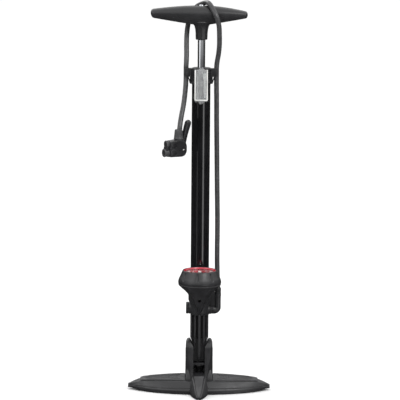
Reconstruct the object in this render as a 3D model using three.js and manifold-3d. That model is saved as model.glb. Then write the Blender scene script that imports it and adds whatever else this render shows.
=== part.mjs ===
// A floor bike pump, in millimetres, +Z up. The origin is on the barrel's axis at the floor, and -Y is the
// front, where the gauge and the toe of the base are. The handle is down, and the hose is stored over it.
import * as THREE from "three";
import { mergeVertices } from "three/addons/utils/BufferGeometryUtils.js";
import Module from "manifold-3d";

const wasm = await Module();
wasm.setup();

// ---------------------------------------------------------------- driving dimensions

const GAP = 0.3; // clearance between neighbours that touch on the real object

// Barrel, rod and piston
const BARREL_R = 15;
const BARREL_BORE_R = 13.8;
const BARREL_BOTTOM = 152.3;
const BARREL_TOP = 526;
const ROD_R = 6.1;
const ROD_BORE_R = 4.9;
const PISTON_BOTTOM = 156;
const PISTON_TOP = 184;
const BUMPER_HEIGHT = 8;

// Barrel cap and its two hose clips
const CAP_BOTTOM = 505.5;
const CAP_TOP = 532;
const CLIP_X = 24.6;
const CLIP_BOTTOM = 517.5;
const CLIP_TOP = 531;
const CASE_ITEM_X = 5.9;

// Handle
const NECK_BOTTOM = 576;
const HANDLE_TOP = 631.2;
const HANDLE_LEFT = 82.3;
const HANDLE_RIGHT = 74;
const LEFT_DROOP = 6.6; // how much lower than the middle the wing's top is at its tip
const RIGHT_DROOP = 9.6;
const HANDLE_HALF_DEPTH = 17;
const ROD_SEAT = 612; // where the rod's top end bears inside the handle
const STUD_R = 3;
const NUT_SEAT = 626;

// Hose
const HOSE_R = 4;
const HOSE_BORE_R = HOSE_R + 0.35;

// Lower body
const SOCKET_R = 18.4;
const SOCKET_TOP = 180;
const SOCKET_FLOOR = 150;
const BODY_BOTTOM = 126;
const CROSS_Z = 136.6;
const CROSS_R = 9.8;
const STUB_END = 17.6;
const ELBOW_START = 17.2;
const ELBOW_X = 30;
const ELBOW_Z = 133.6;
const ELBOW_TOP = 159.7;
const FERRULE_TOP = 170.5;
const COLUMN_HALF = 15;
const TONGUE_HALF = 9;
const TONGUE_BOTTOM = 48;

// Gauge, in front of the barrel and facing up
const GAUGE_Y = -51;
const GAUGE_R = 34.4;
const GAUGE_SEAM = 186.6;
const GAUGE_TOP = 208.8;
const DIAL_TOP = 204;
const GRIP_COUNT = 8;
const GAUGE_SCREW_Z = 158;

// Pump head, hanging in front of the barrel and turned a little about its collar
const HEAD_X = -35.6;
const HEAD_Y = -44;
const HEAD_LIFT = 1.2;
const HEAD_YAW = THREE.MathUtils.degToRad(28);
const HEAD_BOTTOM = 390.6;
const HEAD_TOP = 417.6;
const HEAD_LEFT = -19;
const HEAD_RIGHT = 11.6;
const HEAD_HALF = 8.2;
const UPPER_PORT_Z = 411;
const LOWER_PORT_Z = 397.4;
const PIN_X = 5.2;
const PIN_Z = 401.2;

// Base
const WING_HALF = 117;
const WING_FRONT = 41;
const WING_BACK = 31;
const WING_HEIGHT = 19.9;
const TREAD_THICK = 1.6;
const FORK_HALF = 22.3;
const FORK_TOP = 85.6;
const SLOT_HALF = 9.35;
const SLOT_FLOOR = 28.2;
const FORK_BOLT_Z = 62;
const LEDGE_TOP = 46.8;
const LEDGE_BOTTOM = 43.4;
const TOE_FRONT = -75;
const FOOT_X = 96;

// ---------------------------------------------------------------- solids

// A closed geometry as a manifold solid, with its faces pointing out.
function solid(geometry) {
  const bare = geometry.index ? geometry.toNonIndexed() : geometry.clone();
  bare.deleteAttribute("normal");
  bare.deleteAttribute("uv");
  const merged = mergeVertices(bare, 1e-4);
  const build = (triVerts) =>
    new wasm.Manifold(
      new wasm.Mesh({ numProp: 3, vertProperties: merged.attributes.position.array, triVerts }),
    );
  const made = build(new Uint32Array(merged.index.array));
  return made.volume() < 0 ? build(new Uint32Array(merged.index.array).reverse()) : made;
}

function join(...parts) {
  return parts.reduce((whole, part) => whole.add(part));
}

function cut(body, ...tools) {
  return tools.reduce((left, tool) => left.subtract(tool), body);
}

function geometryOf(made) {
  const mesh = made.getMesh();
  const geometry = new THREE.BufferGeometry();
  geometry.setAttribute("position", new THREE.BufferAttribute(mesh.vertProperties, 3));
  geometry.setIndex(new THREE.BufferAttribute(mesh.triVerts, 1));
  geometry.computeVertexNormals();
  return geometry;
}

function moved(geometry, x, y, z) {
  return solid(geometry.translate(x, y, z));
}

// A solid of revolution about the vertical line through (x, y): profile is [radius, height] pairs.
function turned(profile, segments = 24, x = 0, y = 0) {
  const points = profile.map(([r, z]) => new THREE.Vector2(r, z));
  return moved(new THREE.LatheGeometry(points, segments).rotateX(Math.PI / 2), x, y, 0);
}

function rod(radius, low, high, segments = 20, x = 0, y = 0) {
  return turned([[0, low], [radius, low], [radius, high], [0, high]], segments, x, y);
}

function ring(inner, outer, low, high, segments = 24, x = 0, y = 0) {
  const profile = [[inner, low], [outer, low], [outer, high], [inner, high], [inner, low]];
  return turned(profile, segments, x, y);
}

// Cylinders that lie along X or along Y.
function rodX(radius, x0, x1, y, z, segments = 20) {
  const shape = new THREE.CylinderGeometry(radius, radius, x1 - x0, segments).rotateZ(Math.PI / 2);
  return moved(shape, (x0 + x1) / 2, y, z);
}

function rodY(radius, y0, y1, x, z, segments = 20) {
  return moved(new THREE.CylinderGeometry(radius, radius, y1 - y0, segments), x, (y0 + y1) / 2, z);
}

function box(x0, x1, y0, y1, z0, z1) {
  const shape = new THREE.BoxGeometry(x1 - x0, y1 - y0, z1 - z0);
  return moved(shape, (x0 + x1) / 2, (y0 + y1) / 2, (z0 + z1) / 2);
}

function outline(points) {
  return new THREE.Shape(points.map(([a, b]) => new THREE.Vector2(a, b)));
}

// An outline in X and Z, as thick as y0 to y1.
function plateXZ(points, y0, y1) {
  const flat = new THREE.ExtrudeGeometry(outline(points), { depth: y1 - y0, bevelEnabled: false });
  return moved(flat.rotateX(Math.PI / 2), 0, y1, 0);
}

// An outline in Y and Z, as thick as x0 to x1.
function plateYZ(points, x0, x1) {
  const flat = new THREE.ExtrudeGeometry(outline(points), { depth: x1 - x0, bevelEnabled: false });
  const turn = new THREE.Matrix4().set(0, 0, 1, x0, 1, 0, 0, 0, 0, 1, 0, 0, 0, 0, 0, 1);
  return solid(flat.applyMatrix4(turn));
}

// A skin over rings of points, each ring with as many points as the next, closed flat at both ends.
function loft(rings) {
  const count = rings[0].length;
  const position = rings.flat(2);
  const index = [];
  for (let i = 0; i + 1 < rings.length; i++) {
    for (let j = 0; j < count; j++) {
      const a = i * count + j;
      const b = i * count + ((j + 1) % count);
      index.push(a, b, a + count, b, b + count, a + count);
    }
  }
  const last = (rings.length - 1) * count;
  for (let j = 1; j + 1 < count; j++) {
    index.push(0, j + 1, j, last, last + j, last + j + 1);
  }
  const geometry = new THREE.BufferGeometry();
  geometry.setAttribute("position", new THREE.Float32BufferAttribute(position, 3));
  geometry.setIndex(index);
  return solid(geometry);
}

function steps(count, make) {
  return Array.from({ length: count + 1 }, (_, i) => make(i / count));
}

// A round tube along a smooth curve through points.
function tube(points, radius, sides, stepCount) {
  const section = new THREE.Shape().absarc(0, 0, radius, 0, 2 * Math.PI);
  const extrudePath = new THREE.CatmullRomCurve3(points.map((p) => new THREE.Vector3(...p)));
  const settings = { extrudePath, steps: stepCount, curveSegments: sides / 2, bevelEnabled: false };
  return solid(new THREE.ExtrudeGeometry(section, settings));
}

// ---------------------------------------------------------------- materials

function finish(color, roughness, metalness = 0, opacity = 1) {
  return new THREE.MeshStandardMaterial({
    color,
    roughness,
    metalness,
    opacity,
    transparent: opacity < 1,
  });
}

const PLASTIC = finish(0x2c2c2e, 0.45);
const BLACK_PAINT = finish(0x0a0a0b, 0.12);
const CHROME = finish(0xc8cacd, 0.12, 1);
const STEEL = finish(0x9a9c9f, 0.3, 1);
const BRASS = finish(0xb08d4a, 0.3, 1);
const RUBBER = finish(0x1c1c1d, 0.75);
const CLEAR = finish(0xdcdfe0, 0.08, 0, 0.35);
const DIAL_RED = finish(0xb3152a, 0.3);
const WHITE = finish(0xf2f2f2, 0.4);

const pump = new THREE.Group();

function place(group, name, made, material) {
  const mesh = new THREE.Mesh(geometryOf(made), material);
  mesh.name = name;
  group.add(mesh);
}

// ---------------------------------------------------------------- handle and piston rod

// One section of the wing at x, as a ring of points in Y and Z.
function handleSection(x) {
  const reach = Math.abs(x) / (x < 0 ? HANDLE_LEFT : HANDLE_RIGHT);
  const top = HANDLE_TOP - (x < 0 ? LEFT_DROOP : RIGHT_DROOP) * reach ** 1.8;
  const bottom = HANDLE_TOP - 32.4 + 12.5 * reach ** 1.12;
  const round = Math.sqrt(Math.max(0.12, 1 - Math.max(0, (reach - 0.95) / 0.05) ** 2));
  const halfDepth = (HANDLE_HALF_DEPTH - 6.5 * reach ** 2) * round;
  const halfHeight = ((top - bottom) / 2) * round;
  return steps(15, (t) => {
    const angle = 2 * Math.PI * t * (15 / 16);
    return [x, halfDepth * Math.cos(angle), (top + bottom) / 2 + halfHeight * Math.sin(angle)];
  });
}

function makeHandle() {
  const left = steps(9, (t) => handleSection(-HANDLE_LEFT * Math.cos((t * Math.PI) / 2)));
  const right = steps(9, (t) => handleSection(HANDLE_RIGHT * Math.sin((t * Math.PI) / 2)));
  const wing = loft([...left, ...right.slice(1)]);
  const neck = turned([
    [0, NECK_BOTTOM], [9.3, NECK_BOTTOM], [10.9, 597], [14, 603], [14, ROD_SEAT], [0, ROD_SEAT],
  ]);
  const bore = rod(ROD_R + GAP, NECK_BOTTOM - 1, ROD_SEAT);
  const studHole = rod(STUD_R + GAP, ROD_SEAT - 1, HANDLE_TOP + 1, 16);
  const nutSeat = rod(7, NUT_SEAT, HANDLE_TOP + 5);
  return cut(join(wing, neck), bore, studHole, nutSeat);
}

function makeHandleNut() {
  const hexagon = rod(5.6, NUT_SEAT + GAP, NUT_SEAT + 4, 6);
  const dome = turned([[0, 629], [4.8, 629], [4.6, 630.8], [3.2, 632.2], [0, 632.8]], 20);
  return cut(join(hexagon, dome), rod(STUD_R + GAP, NUT_SEAT, 630.2, 16));
}

function addPlunger() {
  const rodBottom = PISTON_TOP + GAP;
  const rodTop = ROD_SEAT - GAP;
  place(pump, "handle", makeHandle(), PLASTIC);
  place(pump, "handle_nut", makeHandleNut(), CHROME);
  const stud = [[0, 590], [4.6, 590], [4.6, 611], [STUD_R, 611], [STUD_R, 629.6], [0, 629.6]];
  place(pump, "handle_stud", turned(stud, 16), STEEL);
  place(pump, "piston_rod", ring(ROD_BORE_R, ROD_R, rodBottom, rodTop), CHROME);
  place(pump, "rod_plug", ring(2.7, 4.6, rodBottom, rodBottom + 16, 16), BRASS);
  const bumperTop = rodBottom + BUMPER_HEIGHT;
  place(pump, "top_bumper", ring(ROD_R + GAP, 11, rodBottom, bumperTop), RUBBER);

  const cupTop = PISTON_BOTTOM + 9;
  const piston = [
    [2.7, cupTop + GAP], [12, cupTop + GAP], [13.3, cupTop + 2], [13.3, cupTop + 6], [11, cupTop + 8],
    [11, cupTop + 12], [13.3, cupTop + 14], [13.3, PISTON_TOP], [2.7, PISTON_TOP], [2.7, cupTop + GAP],
  ];
  place(pump, "piston", turned(piston), PLASTIC);
  const cup = [
    [2.7, PISTON_BOTTOM + 4], [9, PISTON_BOTTOM + 4], [12.2, PISTON_BOTTOM], [13.5, PISTON_BOTTOM],
    [13.3, cupTop], [2.7, cupTop], [2.7, PISTON_BOTTOM + 4],
  ];
  place(pump, "piston_cup", turned(cup), RUBBER);
  const washerTop = PISTON_BOTTOM + 4 - GAP;
  place(pump, "piston_washer", ring(2.7, 7, washerTop - 1.2, washerTop, 20), STEEL);
  const headTop = washerTop - 1.2 - GAP;
  const screw = [
    [0, headTop - 2], [4.4, headTop - 2], [4.4, headTop], [2.4, headTop], [2.4, 199], [0, 199],
  ];
  place(pump, "piston_screw", turned(screw, 16), STEEL);
}

// ---------------------------------------------------------------- barrel, cap and accessory case

// One hose clip, open on its outer side, with the rib under it. side is -1 or 1.
function makeClip(side) {
  const outer = CLIP_X + 3;
  const arm = box(13, outer, -6.2, 6.2, CLIP_BOTTOM, CLIP_TOP - 0.6);
  const brace = [
    [16.6, CAP_BOTTOM], [18.2, CAP_BOTTOM], [22.4, CLIP_BOTTOM + 1], [16.6, CLIP_BOTTOM + 1],
  ];
  const rib = plateXZ(brace, -3, 3);
  const window = plateXZ([[18.4, 511.5], [20.2, CLIP_BOTTOM - 1], [18.4, CLIP_BOTTOM - 1]], -4, 4);
  const hold = rod(HOSE_BORE_R, CAP_BOTTOM - 1, CLIP_TOP + 1, 20, CLIP_X);
  const made = cut(join(arm, rib), window, hold);
  return side > 0 ? made : made.rotate([0, 0, 180]);
}

function makeCap() {
  const outer = [
    [0, CAP_BOTTOM], [18.2, CAP_BOTTOM], [18.2, CAP_BOTTOM + 2.5], [16.8, CAP_BOTTOM + 5],
    [16.2, CAP_TOP - 4], [15.2, CAP_TOP - 1.6], [12, CAP_TOP - 0.4], [0, CAP_TOP],
  ];
  const pad = box(-5, 5, -18.6, -14, 512, 526);
  const body = join(turned(outer, 32), makeClip(1), makeClip(-1), pad);
  return cut(body, rod(BARREL_R + GAP, CAP_BOTTOM - 1, BARREL_TOP + GAP, 32), rod(8.7, 520, CAP_TOP + 1));
}

function makeCase() {
  const back = -18.9;
  const front = -28.4;
  const side = [[-10.7, 530.8], [-6.2, 528.6], [-3.2, 531.4], [3.2, 531.4], [6.2, 528.6], [10.7, 530.8]];
  const low = [[10.7, 494], [11.4, 491.5], [11.4, 481], [9.6, 478.2], [4.4, 478.2], [3, 474.9]];
  const mirrored = low.map(([x, z]) => [-x, z]).reverse();
  const shell = plateXZ([...side, ...low, ...mirrored], front, back);
  const hollow = box(-9.4, 9.4, front + 1.3, back - 1.3, 480, 533);
  return cut(shell, hollow);
}

function addBarrel() {
  place(pump, "barrel", ring(BARREL_BORE_R, BARREL_R, BARREL_BOTTOM, BARREL_TOP, 32), BLACK_PAINT);
  place(pump, "barrel_cap", makeCap(), PLASTIC);
  const bush = [
    [ROD_R + GAP, 520], [13.4, 520], [13.4, BARREL_TOP], [8.4, BARREL_TOP], [8.4, 528.8],
    [ROD_R + GAP, 528.8], [ROD_R + GAP, 520],
  ];
  place(pump, "rod_bush", turned(bush), BRASS);
  place(pump, "rod_wiper", ring(ROD_R + GAP, 8.4, 528.8 + GAP, 531.6), RUBBER);

  place(pump, "accessory_case", makeCase(), CLEAR);
  const caseMiddle = -23.65;
  const needle = [[0, 482], [2.4, 482], [2.4, 488], [3, 488], [3, 491], [1, 493], [1, 521], [0, 522]];
  place(pump, "ball_needle", turned(needle, 12, -CASE_ITEM_X, caseMiddle), STEEL);
  const adapter = [[0, 484], [1.2, 484], [2, 513], [3.1, 514], [3.1, 521], [2.2, 523.5], [0, 523.5]];
  place(pump, "bladder_adapter", turned(adapter, 12, CASE_ITEM_X, caseMiddle), WHITE);
}

// ---------------------------------------------------------------- lower body, check valve, elbow

// The ribbed column and its tongue, which stands in the fork of the base.
function makeColumn() {
  const profile = [
    [-COLUMN_HALF, BODY_BOTTOM + 2], [-COLUMN_HALF, FORK_TOP], [-TONGUE_HALF, 75],
    [-TONGUE_HALF, TONGUE_BOTTOM], [TONGUE_HALF, TONGUE_BOTTOM], [TONGUE_HALF, 75],
    [COLUMN_HALF, FORK_TOP], [COLUMN_HALF, BODY_BOTTOM + 2],
  ];
  const web = plateXZ(profile, -3, 3);
  const tongue = box(-TONGUE_HALF, TONGUE_HALF, -6, 9, TONGUE_BOTTOM, 84);
  const ribs = [-1, 1].flatMap((side) => [
    box(side * 13.4 - 1.6, side * 13.4 + 1.6, -7, 7, 90, 128),
    box(side * 7.2 - 1.3, side * 7.2 + 1.3, -12, 12, 76, 128),
  ]);
  const ridge = plateYZ([[-14.6, 128], [-14.6, 62], [-8, 50], [9, 50], [13, 62], [13, 128]], -1.9, 1.9);
  return join(web, tongue, ...ribs, ridge);
}

function makeLowerBody() {
  const outer = [
    [0, BODY_BOTTOM], [14.4, BODY_BOTTOM], [15.4, BODY_BOTTOM + 1.5], [16.4, 144], [SOCKET_R, SOCKET_FLOOR],
    [SOCKET_R, SOCKET_TOP - 1], [SOCKET_R - 1, SOCKET_TOP], [0, SOCKET_TOP],
  ];
  const socket = turned(outer, 28);
  const gaugeBoss = rodY(5.5, -19.4, -10, 0, GAUGE_SCREW_Z, 16);
  const spigotPad = rodX(8, 8, ELBOW_START - GAP, 0, ELBOW_Z);
  const stub = rodX(CROSS_R, -STUB_END, 0, 0, CROSS_Z);
  const body = join(socket, gaugeBoss, spigotPad, stub, makeColumn());
  return cut(
    body,
    rod(BARREL_R + GAP, SOCKET_FLOOR, SOCKET_TOP + 1, 28),
    rod(17, 172, SOCKET_TOP + 1, 28),
    rod(7, 131, SOCKET_FLOOR + 1, 16),
    rodX(3.6, 5, ELBOW_START, 0, ELBOW_Z, 16),
    rodX(5.4, -STUB_END - 1, -5, 0, CROSS_Z, 16),
    rodY(1.9, -20, -16.2, 0, GAUGE_SCREW_Z, 12),
    rodX(3.4, -20, 20, 0, FORK_BOLT_Z, 16),
    rod(2.9, TONGUE_BOTTOM - 1, FORK_BOLT_Z, 16),
  );
}

function addCheckValve() {
  place(pump, "valve_seat", ring(3, 15, SOCKET_FLOOR + GAP, BARREL_BOTTOM - GAP), PLASTIC);
  const poppet = [[0, 144], [1.4, 144], [1.4, 147], [5.2, 147], [5.2, 149.6], [0, 149.6]];
  place(pump, "check_poppet", turned(poppet, 20), RUBBER);
  const turns = 5;
  const springBottom = 132.1;
  const springRise = 13.8;
  const coil = steps(48, (t) => {
    const angle = 2 * Math.PI * turns * t;
    return [3.4 * Math.cos(angle), 3.4 * Math.sin(angle), springBottom + springRise * t];
  });
  place(pump, "check_spring", tube(coil, 0.45, 6, 50), STEEL);
  place(pump, "barrel_seal", ring(BARREL_R + GAP, 16.7, 172.4, 175.6), RUBBER);
}

function makeElbow() {
  const arm = rodX(6.7, ELBOW_START, ELBOW_X, 0, ELBOW_Z);
  const corner = moved(new THREE.SphereGeometry(6.7, 20, 12), ELBOW_X - 1.7, 0, ELBOW_Z);
  const sleeve = rod(5, ELBOW_Z, ELBOW_TOP, 20, ELBOW_X);
  const webOutline = [
    [ELBOW_START, ELBOW_Z], [ELBOW_X, ELBOW_Z], [ELBOW_X - 3, ELBOW_TOP], [24.4, ELBOW_TOP], [24.4, 167],
    [19, 168.6], [19, 150], [ELBOW_START, 143],
  ];
  const spigot = rodX(3.1, 8, ELBOW_START + 1, 0, ELBOW_Z, 16);
  return cut(
    join(arm, corner, sleeve, plateXZ(webOutline, -1.6, 1.6), spigot),
    rodX(1.6, 7, ELBOW_X, 0, ELBOW_Z, 12),
    rod(1.6, ELBOW_Z, ELBOW_TOP, 12, ELBOW_X),
    rod(HOSE_BORE_R, 148, ELBOW_TOP + 1, 20, ELBOW_X),
  );
}

function addElbow() {
  place(pump, "hose_elbow", makeElbow(), PLASTIC);
  place(pump, "hose_ferrule", ring(HOSE_BORE_R, 5.2, ELBOW_TOP + GAP, FERRULE_TOP, 20, ELBOW_X), PLASTIC);
  const plug = join(
    rodX(CROSS_R, -22.2, -STUB_END - GAP, 0, CROSS_Z),
    rodX(5, -18, -7, 0, CROSS_Z, 16),
  );
  place(pump, "cross_plug", cut(plug, rodX(2.6, -23, -20, 0, CROSS_Z, 6)), PLASTIC);
}

// ---------------------------------------------------------------- gauge

// The funnel-shaped housing: level, half width, half depth and the middle in Y.
const HOUSING = [
  [128.6, 1.4, 1.6, -18.6], [136.2, 4.8, 5.5, -23.5], [143, 7.2, 9.5, -28.5], [150, 9.9, 13, -32.8],
  [158, 13.2, 16.5, -37.2], [164, 16, 19.5, -40.6], [169.6, 19.4, 22.4, -43.6], [175.6, 24.4, 26, -46.8],
  [180.4, 29.4, 29.8, -49.8], [183.4, 32.6, 32.6, GAUGE_Y], [185.2, GAUGE_R - 0.2, GAUGE_R - 0.2, GAUGE_Y],
  [GAUGE_SEAM, GAUGE_R, GAUGE_R, GAUGE_Y],
];
const HOUSING_SIDES = 24;

function housingSection([level, halfWidth, halfDepth, middle], inset = 0) {
  return steps(HOUSING_SIDES - 1, (t) => {
    const angle = 2 * Math.PI * t * (1 - 1 / HOUSING_SIDES);
    return [(halfWidth - inset) * Math.cos(angle), middle + (halfDepth - inset) * Math.sin(angle), level];
  });
}

function makeHousing() {
  const outer = loft(HOUSING.map((row) => housingSection(row)));
  const mouth = [GAUGE_SEAM + 1, GAUGE_R, GAUGE_R, GAUGE_Y];
  const cavity = loft([...HOUSING.slice(7, 11), mouth].map((row) => housingSection(row, 3.2)));
  return cut(
    outer,
    cavity,
    rodY(2.6, -70, -32, 0, GAUGE_SCREW_Z, 16),
    rodY(1.9, -40, -10, 0, GAUGE_SCREW_Z, 12),
  );
}

function makeBezel() {
  const low = GAUGE_SEAM + GAP;
  const profile = [
    [30, low], [GAUGE_R, low], [34.8, low + 2.2], [33.6, 195], [30.4, 201.9], [27.9, 207.6],
    [26.9, GAUGE_TOP], [26.1, GAUGE_TOP], [25.4, 207.7], [24.4, 205.4], [24.4, 204.6], [29.2, 200],
    [30, low],
  ];
  const slope = Math.atan2(33.4 - 30.4, 201.9 - 195.4);
  const grips = Array.from({ length: GRIP_COUNT }, (_, i) => {
    const groove = new THREE.CylinderGeometry(2.2, 2.2, 8, 10).rotateX(Math.PI / 2 - slope);
    groove.translate(0, -33, 199.2).rotateZ((2 * Math.PI * i) / GRIP_COUNT - 0.12);
    return moved(groove, 0, GAUGE_Y, 0);
  });
  return cut(turned(profile, 36, 0, GAUGE_Y), ...grips);
}

function addGauge() {
  place(pump, "gauge_housing", makeHousing(), PLASTIC);
  place(pump, "gauge_bezel", makeBezel(), PLASTIC);
  const lens = [[0, 205.8], [24.2, 205.8], [24.2, 206.6], [20, 207.3], [0, 207.8]];
  place(pump, "gauge_lens", turned(lens, 32, 0, GAUGE_Y), CLEAR);
  const cup = [
    [2, DIAL_TOP - 0.8], [23, DIAL_TOP - 0.8], [23, 200.2], [27.4, 200.2], [27.4, 201], [24.2, 201.6],
    [24.2, DIAL_TOP], [2, DIAL_TOP], [2, DIAL_TOP - 0.8],
  ];
  place(pump, "gauge_dial", turned(cup, 32, 0, GAUGE_Y), DIAL_RED);
  const pointer = box(-0.8, 0.8, GAUGE_Y - 19, GAUGE_Y + 6, DIAL_TOP + 0.4, DIAL_TOP + 1.1);
  const boss = rod(3, DIAL_TOP + GAP, DIAL_TOP + 1.5, 16, 0, GAUGE_Y);
  const shaftHole = rod(1.3, DIAL_TOP, DIAL_TOP + 1, 12, 0, GAUGE_Y);
  place(pump, "gauge_needle", cut(join(pointer, boss), shaftHole), WHITE);
  place(pump, "needle_shaft", rod(1, 190, DIAL_TOP + 0.7, 12, 0, GAUGE_Y), STEEL);

  const arc = new THREE.Shape().absarc(0, 0, 19, 0.5, 5.4);
  arc.absarc(0, 0, 16, 5.4, 0.5, true);
  const bourdon = new THREE.ExtrudeGeometry(arc, { depth: 5, bevelEnabled: false, curveSegments: 16 });
  place(pump, "bourdon_tube", moved(bourdon, 0, GAUGE_Y, 191), BRASS);
  const movement = join(
    box(-8, 8, GAUGE_Y - 5, GAUGE_Y + 5, 186, 189.4),
    box(-8, -5, GAUGE_Y - 5, GAUGE_Y + 5, 175.9, 187),
    box(5, 8, GAUGE_Y - 5, GAUGE_Y + 5, 175.9, 187),
  );
  place(pump, "gauge_movement", cut(movement, rod(1.4, 184, 190, 12, 0, GAUGE_Y)), BRASS);
  const screw = join(
    rodY(2.3, -37, -32 - GAP, 0, GAUGE_SCREW_Z, 16),
    rodY(1.6, -33, -16.5, 0, GAUGE_SCREW_Z, 12),
  );
  place(pump, "gauge_screw", cut(screw, rodY(1.3, -38, -35.4, 0, GAUGE_SCREW_Z, 6)), STEEL);
}

// ---------------------------------------------------------------- hose

const RISER_ROUTE = [
  [ELBOW_X, 0, 149], [ELBOW_X, 0, 168], [29, 0, 190], [28.3, 0, 220], [28.3, 0, 280], [27.2, 0, 340],
  [26.2, 0, 400], [25.5, 0, 440], [25, 0, 485], [CLIP_X, 0, 508], [CLIP_X, 0, 516], [CLIP_X, 0, 523.9],
];
const LOOP_ROUTE = [
  [CLIP_X, 0, 524.2], [CLIP_X, 0, 532], [25.6, -0.8, 542], [27.6, -4.4, 554], [28.8, -11, 570],
  [28.6, -17, 585], [27.9, -21, 598], [26, -23, 607.5], [23, -22.7, 615.6], [19.4, -20, 622.8],
  [15.8, -15.6, 629], [12.4, -9.2, 633.6], [9.4, -1.8, 635.7], [5.6, 5.4, 635.4], [0.6, 10.4, 633.6],
  [-4.6, 14.2, 631.1], [-9.4, 17.8, 627.4], [-14, 20.8, 621.6], [-18, 22.2, 614.2], [-20.9, 22.6, 605.5],
  [-22.8, 21.2, 595], [-24, 17.5, 582], [-24.2, 12, 568], [-24, 6.4, 553], [-24.2, 2, 541],
  [-CLIP_X, 0, 532], [-CLIP_X, 0, 524.2],
];
const DROP_ROUTE = [
  [-CLIP_X, 0, 523.9], [-CLIP_X, 0, 515], [-24.9, -3, 504], [-26.2, -12.6, 488], [-28.4, -24.4, 471],
  [-31.4, -33, 455], [-33.4, -40.2, 441.2], [-34.6, -43.6, 427.2],
];

function addHose() {
  place(pump, "hose_riser", tube(RISER_ROUTE, HOSE_R, 10, 20), RUBBER);
  place(pump, "hose_loop", tube(LOOP_ROUTE, HOSE_R, 10, 30), RUBBER);
  place(pump, "hose_drop", tube(DROP_ROUTE, HOSE_R, 10, 10), RUBBER);
}

// ---------------------------------------------------------------- pump head

// The head is made about its collar's axis, and its group stands at (HEAD_X, HEAD_Y), turned by HEAD_YAW.
const head = new THREE.Group();
head.position.set(HEAD_X, HEAD_Y, HEAD_LIFT);
head.rotation.z = HEAD_YAW;
pump.add(head);

function makeHeadBody() {
  const profile = [
    [HEAD_LEFT + 2, HEAD_BOTTOM], [3, HEAD_BOTTOM], [7.2, HEAD_BOTTOM + 1.2], [10.2, HEAD_BOTTOM + 4],
    [HEAD_RIGHT, HEAD_BOTTOM + 8.4], [HEAD_RIGHT, HEAD_TOP - 3], [HEAD_RIGHT - 2, HEAD_TOP],
    [HEAD_LEFT + 2, HEAD_TOP], [HEAD_LEFT, HEAD_TOP - 2], [HEAD_LEFT, HEAD_BOTTOM + 2],
  ];
  const shell = plateXZ(profile, -HEAD_HALF, HEAD_HALF);
  const narrow = HEAD_HALF - 2.6;
  const edges = loft([HEAD_LEFT - 1, HEAD_RIGHT + 1].map((x) => [
    [x, -narrow, HEAD_BOTTOM - 0.1], [x, narrow, HEAD_BOTTOM - 0.1], [x, HEAD_HALF, HEAD_BOTTOM + 3],
    [x, HEAD_HALF, HEAD_TOP - 3], [x, narrow, HEAD_TOP + 0.1], [x, -narrow, HEAD_TOP + 0.1],
    [x, -HEAD_HALF, HEAD_TOP - 3], [x, -HEAD_HALF, HEAD_BOTTOM + 3],
  ]));
  return cut(
    shell.intersect(edges),
    rodX(5.6, HEAD_LEFT - 1, -11.6, 0, UPPER_PORT_Z, 20),
    rodX(5.6, HEAD_LEFT - 1, -11.6, 0, LOWER_PORT_Z, 20),
    box(-11.9, -4.4, -5.7, 5.7, 393, 415.6),
    box(-4.6, HEAD_RIGHT + 1, -4.4, 4.4, 392.4, 409.6),
    box(2.4, HEAD_RIGHT + 1, -4.4, 4.4, 409.5, HEAD_TOP + 1),
    rodY(1.9, -HEAD_HALF - 1, HEAD_HALF + 1, PIN_X, PIN_Z, 14),
  );
}

function makeLever() {
  const tip = [
    [16.6, 432], [19.8, 440], [20.8, 444.4], [19.6, 448], [16.8, 449.2], [14.2, 447.4], [13, 442.6],
    [11, 432],
  ];
  const shank = [[PIN_X + 1.4, 412], [PIN_X - 3, PIN_Z], [PIN_X + 5, PIN_Z], [11.6, 412], [13.2, 422]];
  const arm = plateXZ([...tip, [8.4, 420], ...shank], -4, 4);
  const grip = plateXZ([...tip, [8.6, 421], [13, 421]], -4.8, 4.8);
  const hub = join(rodY(6.4, -4, 4, PIN_X, PIN_Z), rodY(5.6, -4, 4, PIN_X, PIN_Z - 2.4));
  return cut(join(arm, grip, hub), rodY(1.9, -5, 5, PIN_X, PIN_Z, 12));
}

function addHead() {
  const collar = turned([
    [0, HEAD_TOP + GAP], [7.6, HEAD_TOP + GAP], [7.6, HEAD_TOP + 2], [6.2, 433], [5.4, 434.2], [0, 434.2],
  ]);
  const hoseHole = tube([[1.1, -0.1, 424.6], [1.9, 0.5, 432], [3.8, 2.2, 440.5]], HOSE_BORE_R + 0.4, 16, 3);
  const leverSide = box(6.7, 9, -9, 9, 410, 440);
  place(head, "head_collar", cut(collar, hoseHole, leverSide, rod(1.6, 410, 430, 10)), PLASTIC);
  place(head, "head_body", makeHeadBody(), PLASTIC);
  const collarEnd = HEAD_LEFT - GAP;
  const ports = [["upper", UPPER_PORT_Z, 6.2, 4.2, 3.6], ["lower", LOWER_PORT_Z, 6.8, 7.4, 3.9]];
  for (const [name, z, radius, reach, bore] of ports) {
    const sleeve = cut(rodX(radius, collarEnd - reach, collarEnd, 0, z), rodX(4.7, -40, 0, 0, z));
    place(head, `port_collar_${name}`, sleeve, PLASTIC);
    const grommet = cut(rodX(5.3, HEAD_LEFT, -12, 0, z, 20), rodX(bore, -40, 0, 0, z, 16));
    place(head, `grommet_${name}`, grommet, RUBBER);
  }
  const plunger = join(box(-8.4, -5, -5.3, 5.3, 393.4, 415.2), box(-6, -1.7, -3.6, 3.6, 397, 405));
  place(head, "head_plunger", plunger, WHITE);
  place(head, "head_lever", makeLever(), PLASTIC);
  place(head, "lever_pin", rodY(1.6, -HEAD_HALF, HEAD_HALF, PIN_X, PIN_Z, 14), STEEL);
}

// ---------------------------------------------------------------- base

// How far the wing's plan reaches at x, as a share of its reach at the middle.
function wingPlan(x) {
  return Math.max(0.13, (1 - (x / (WING_HALF + 1)) ** 2) ** 0.75);
}

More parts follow.
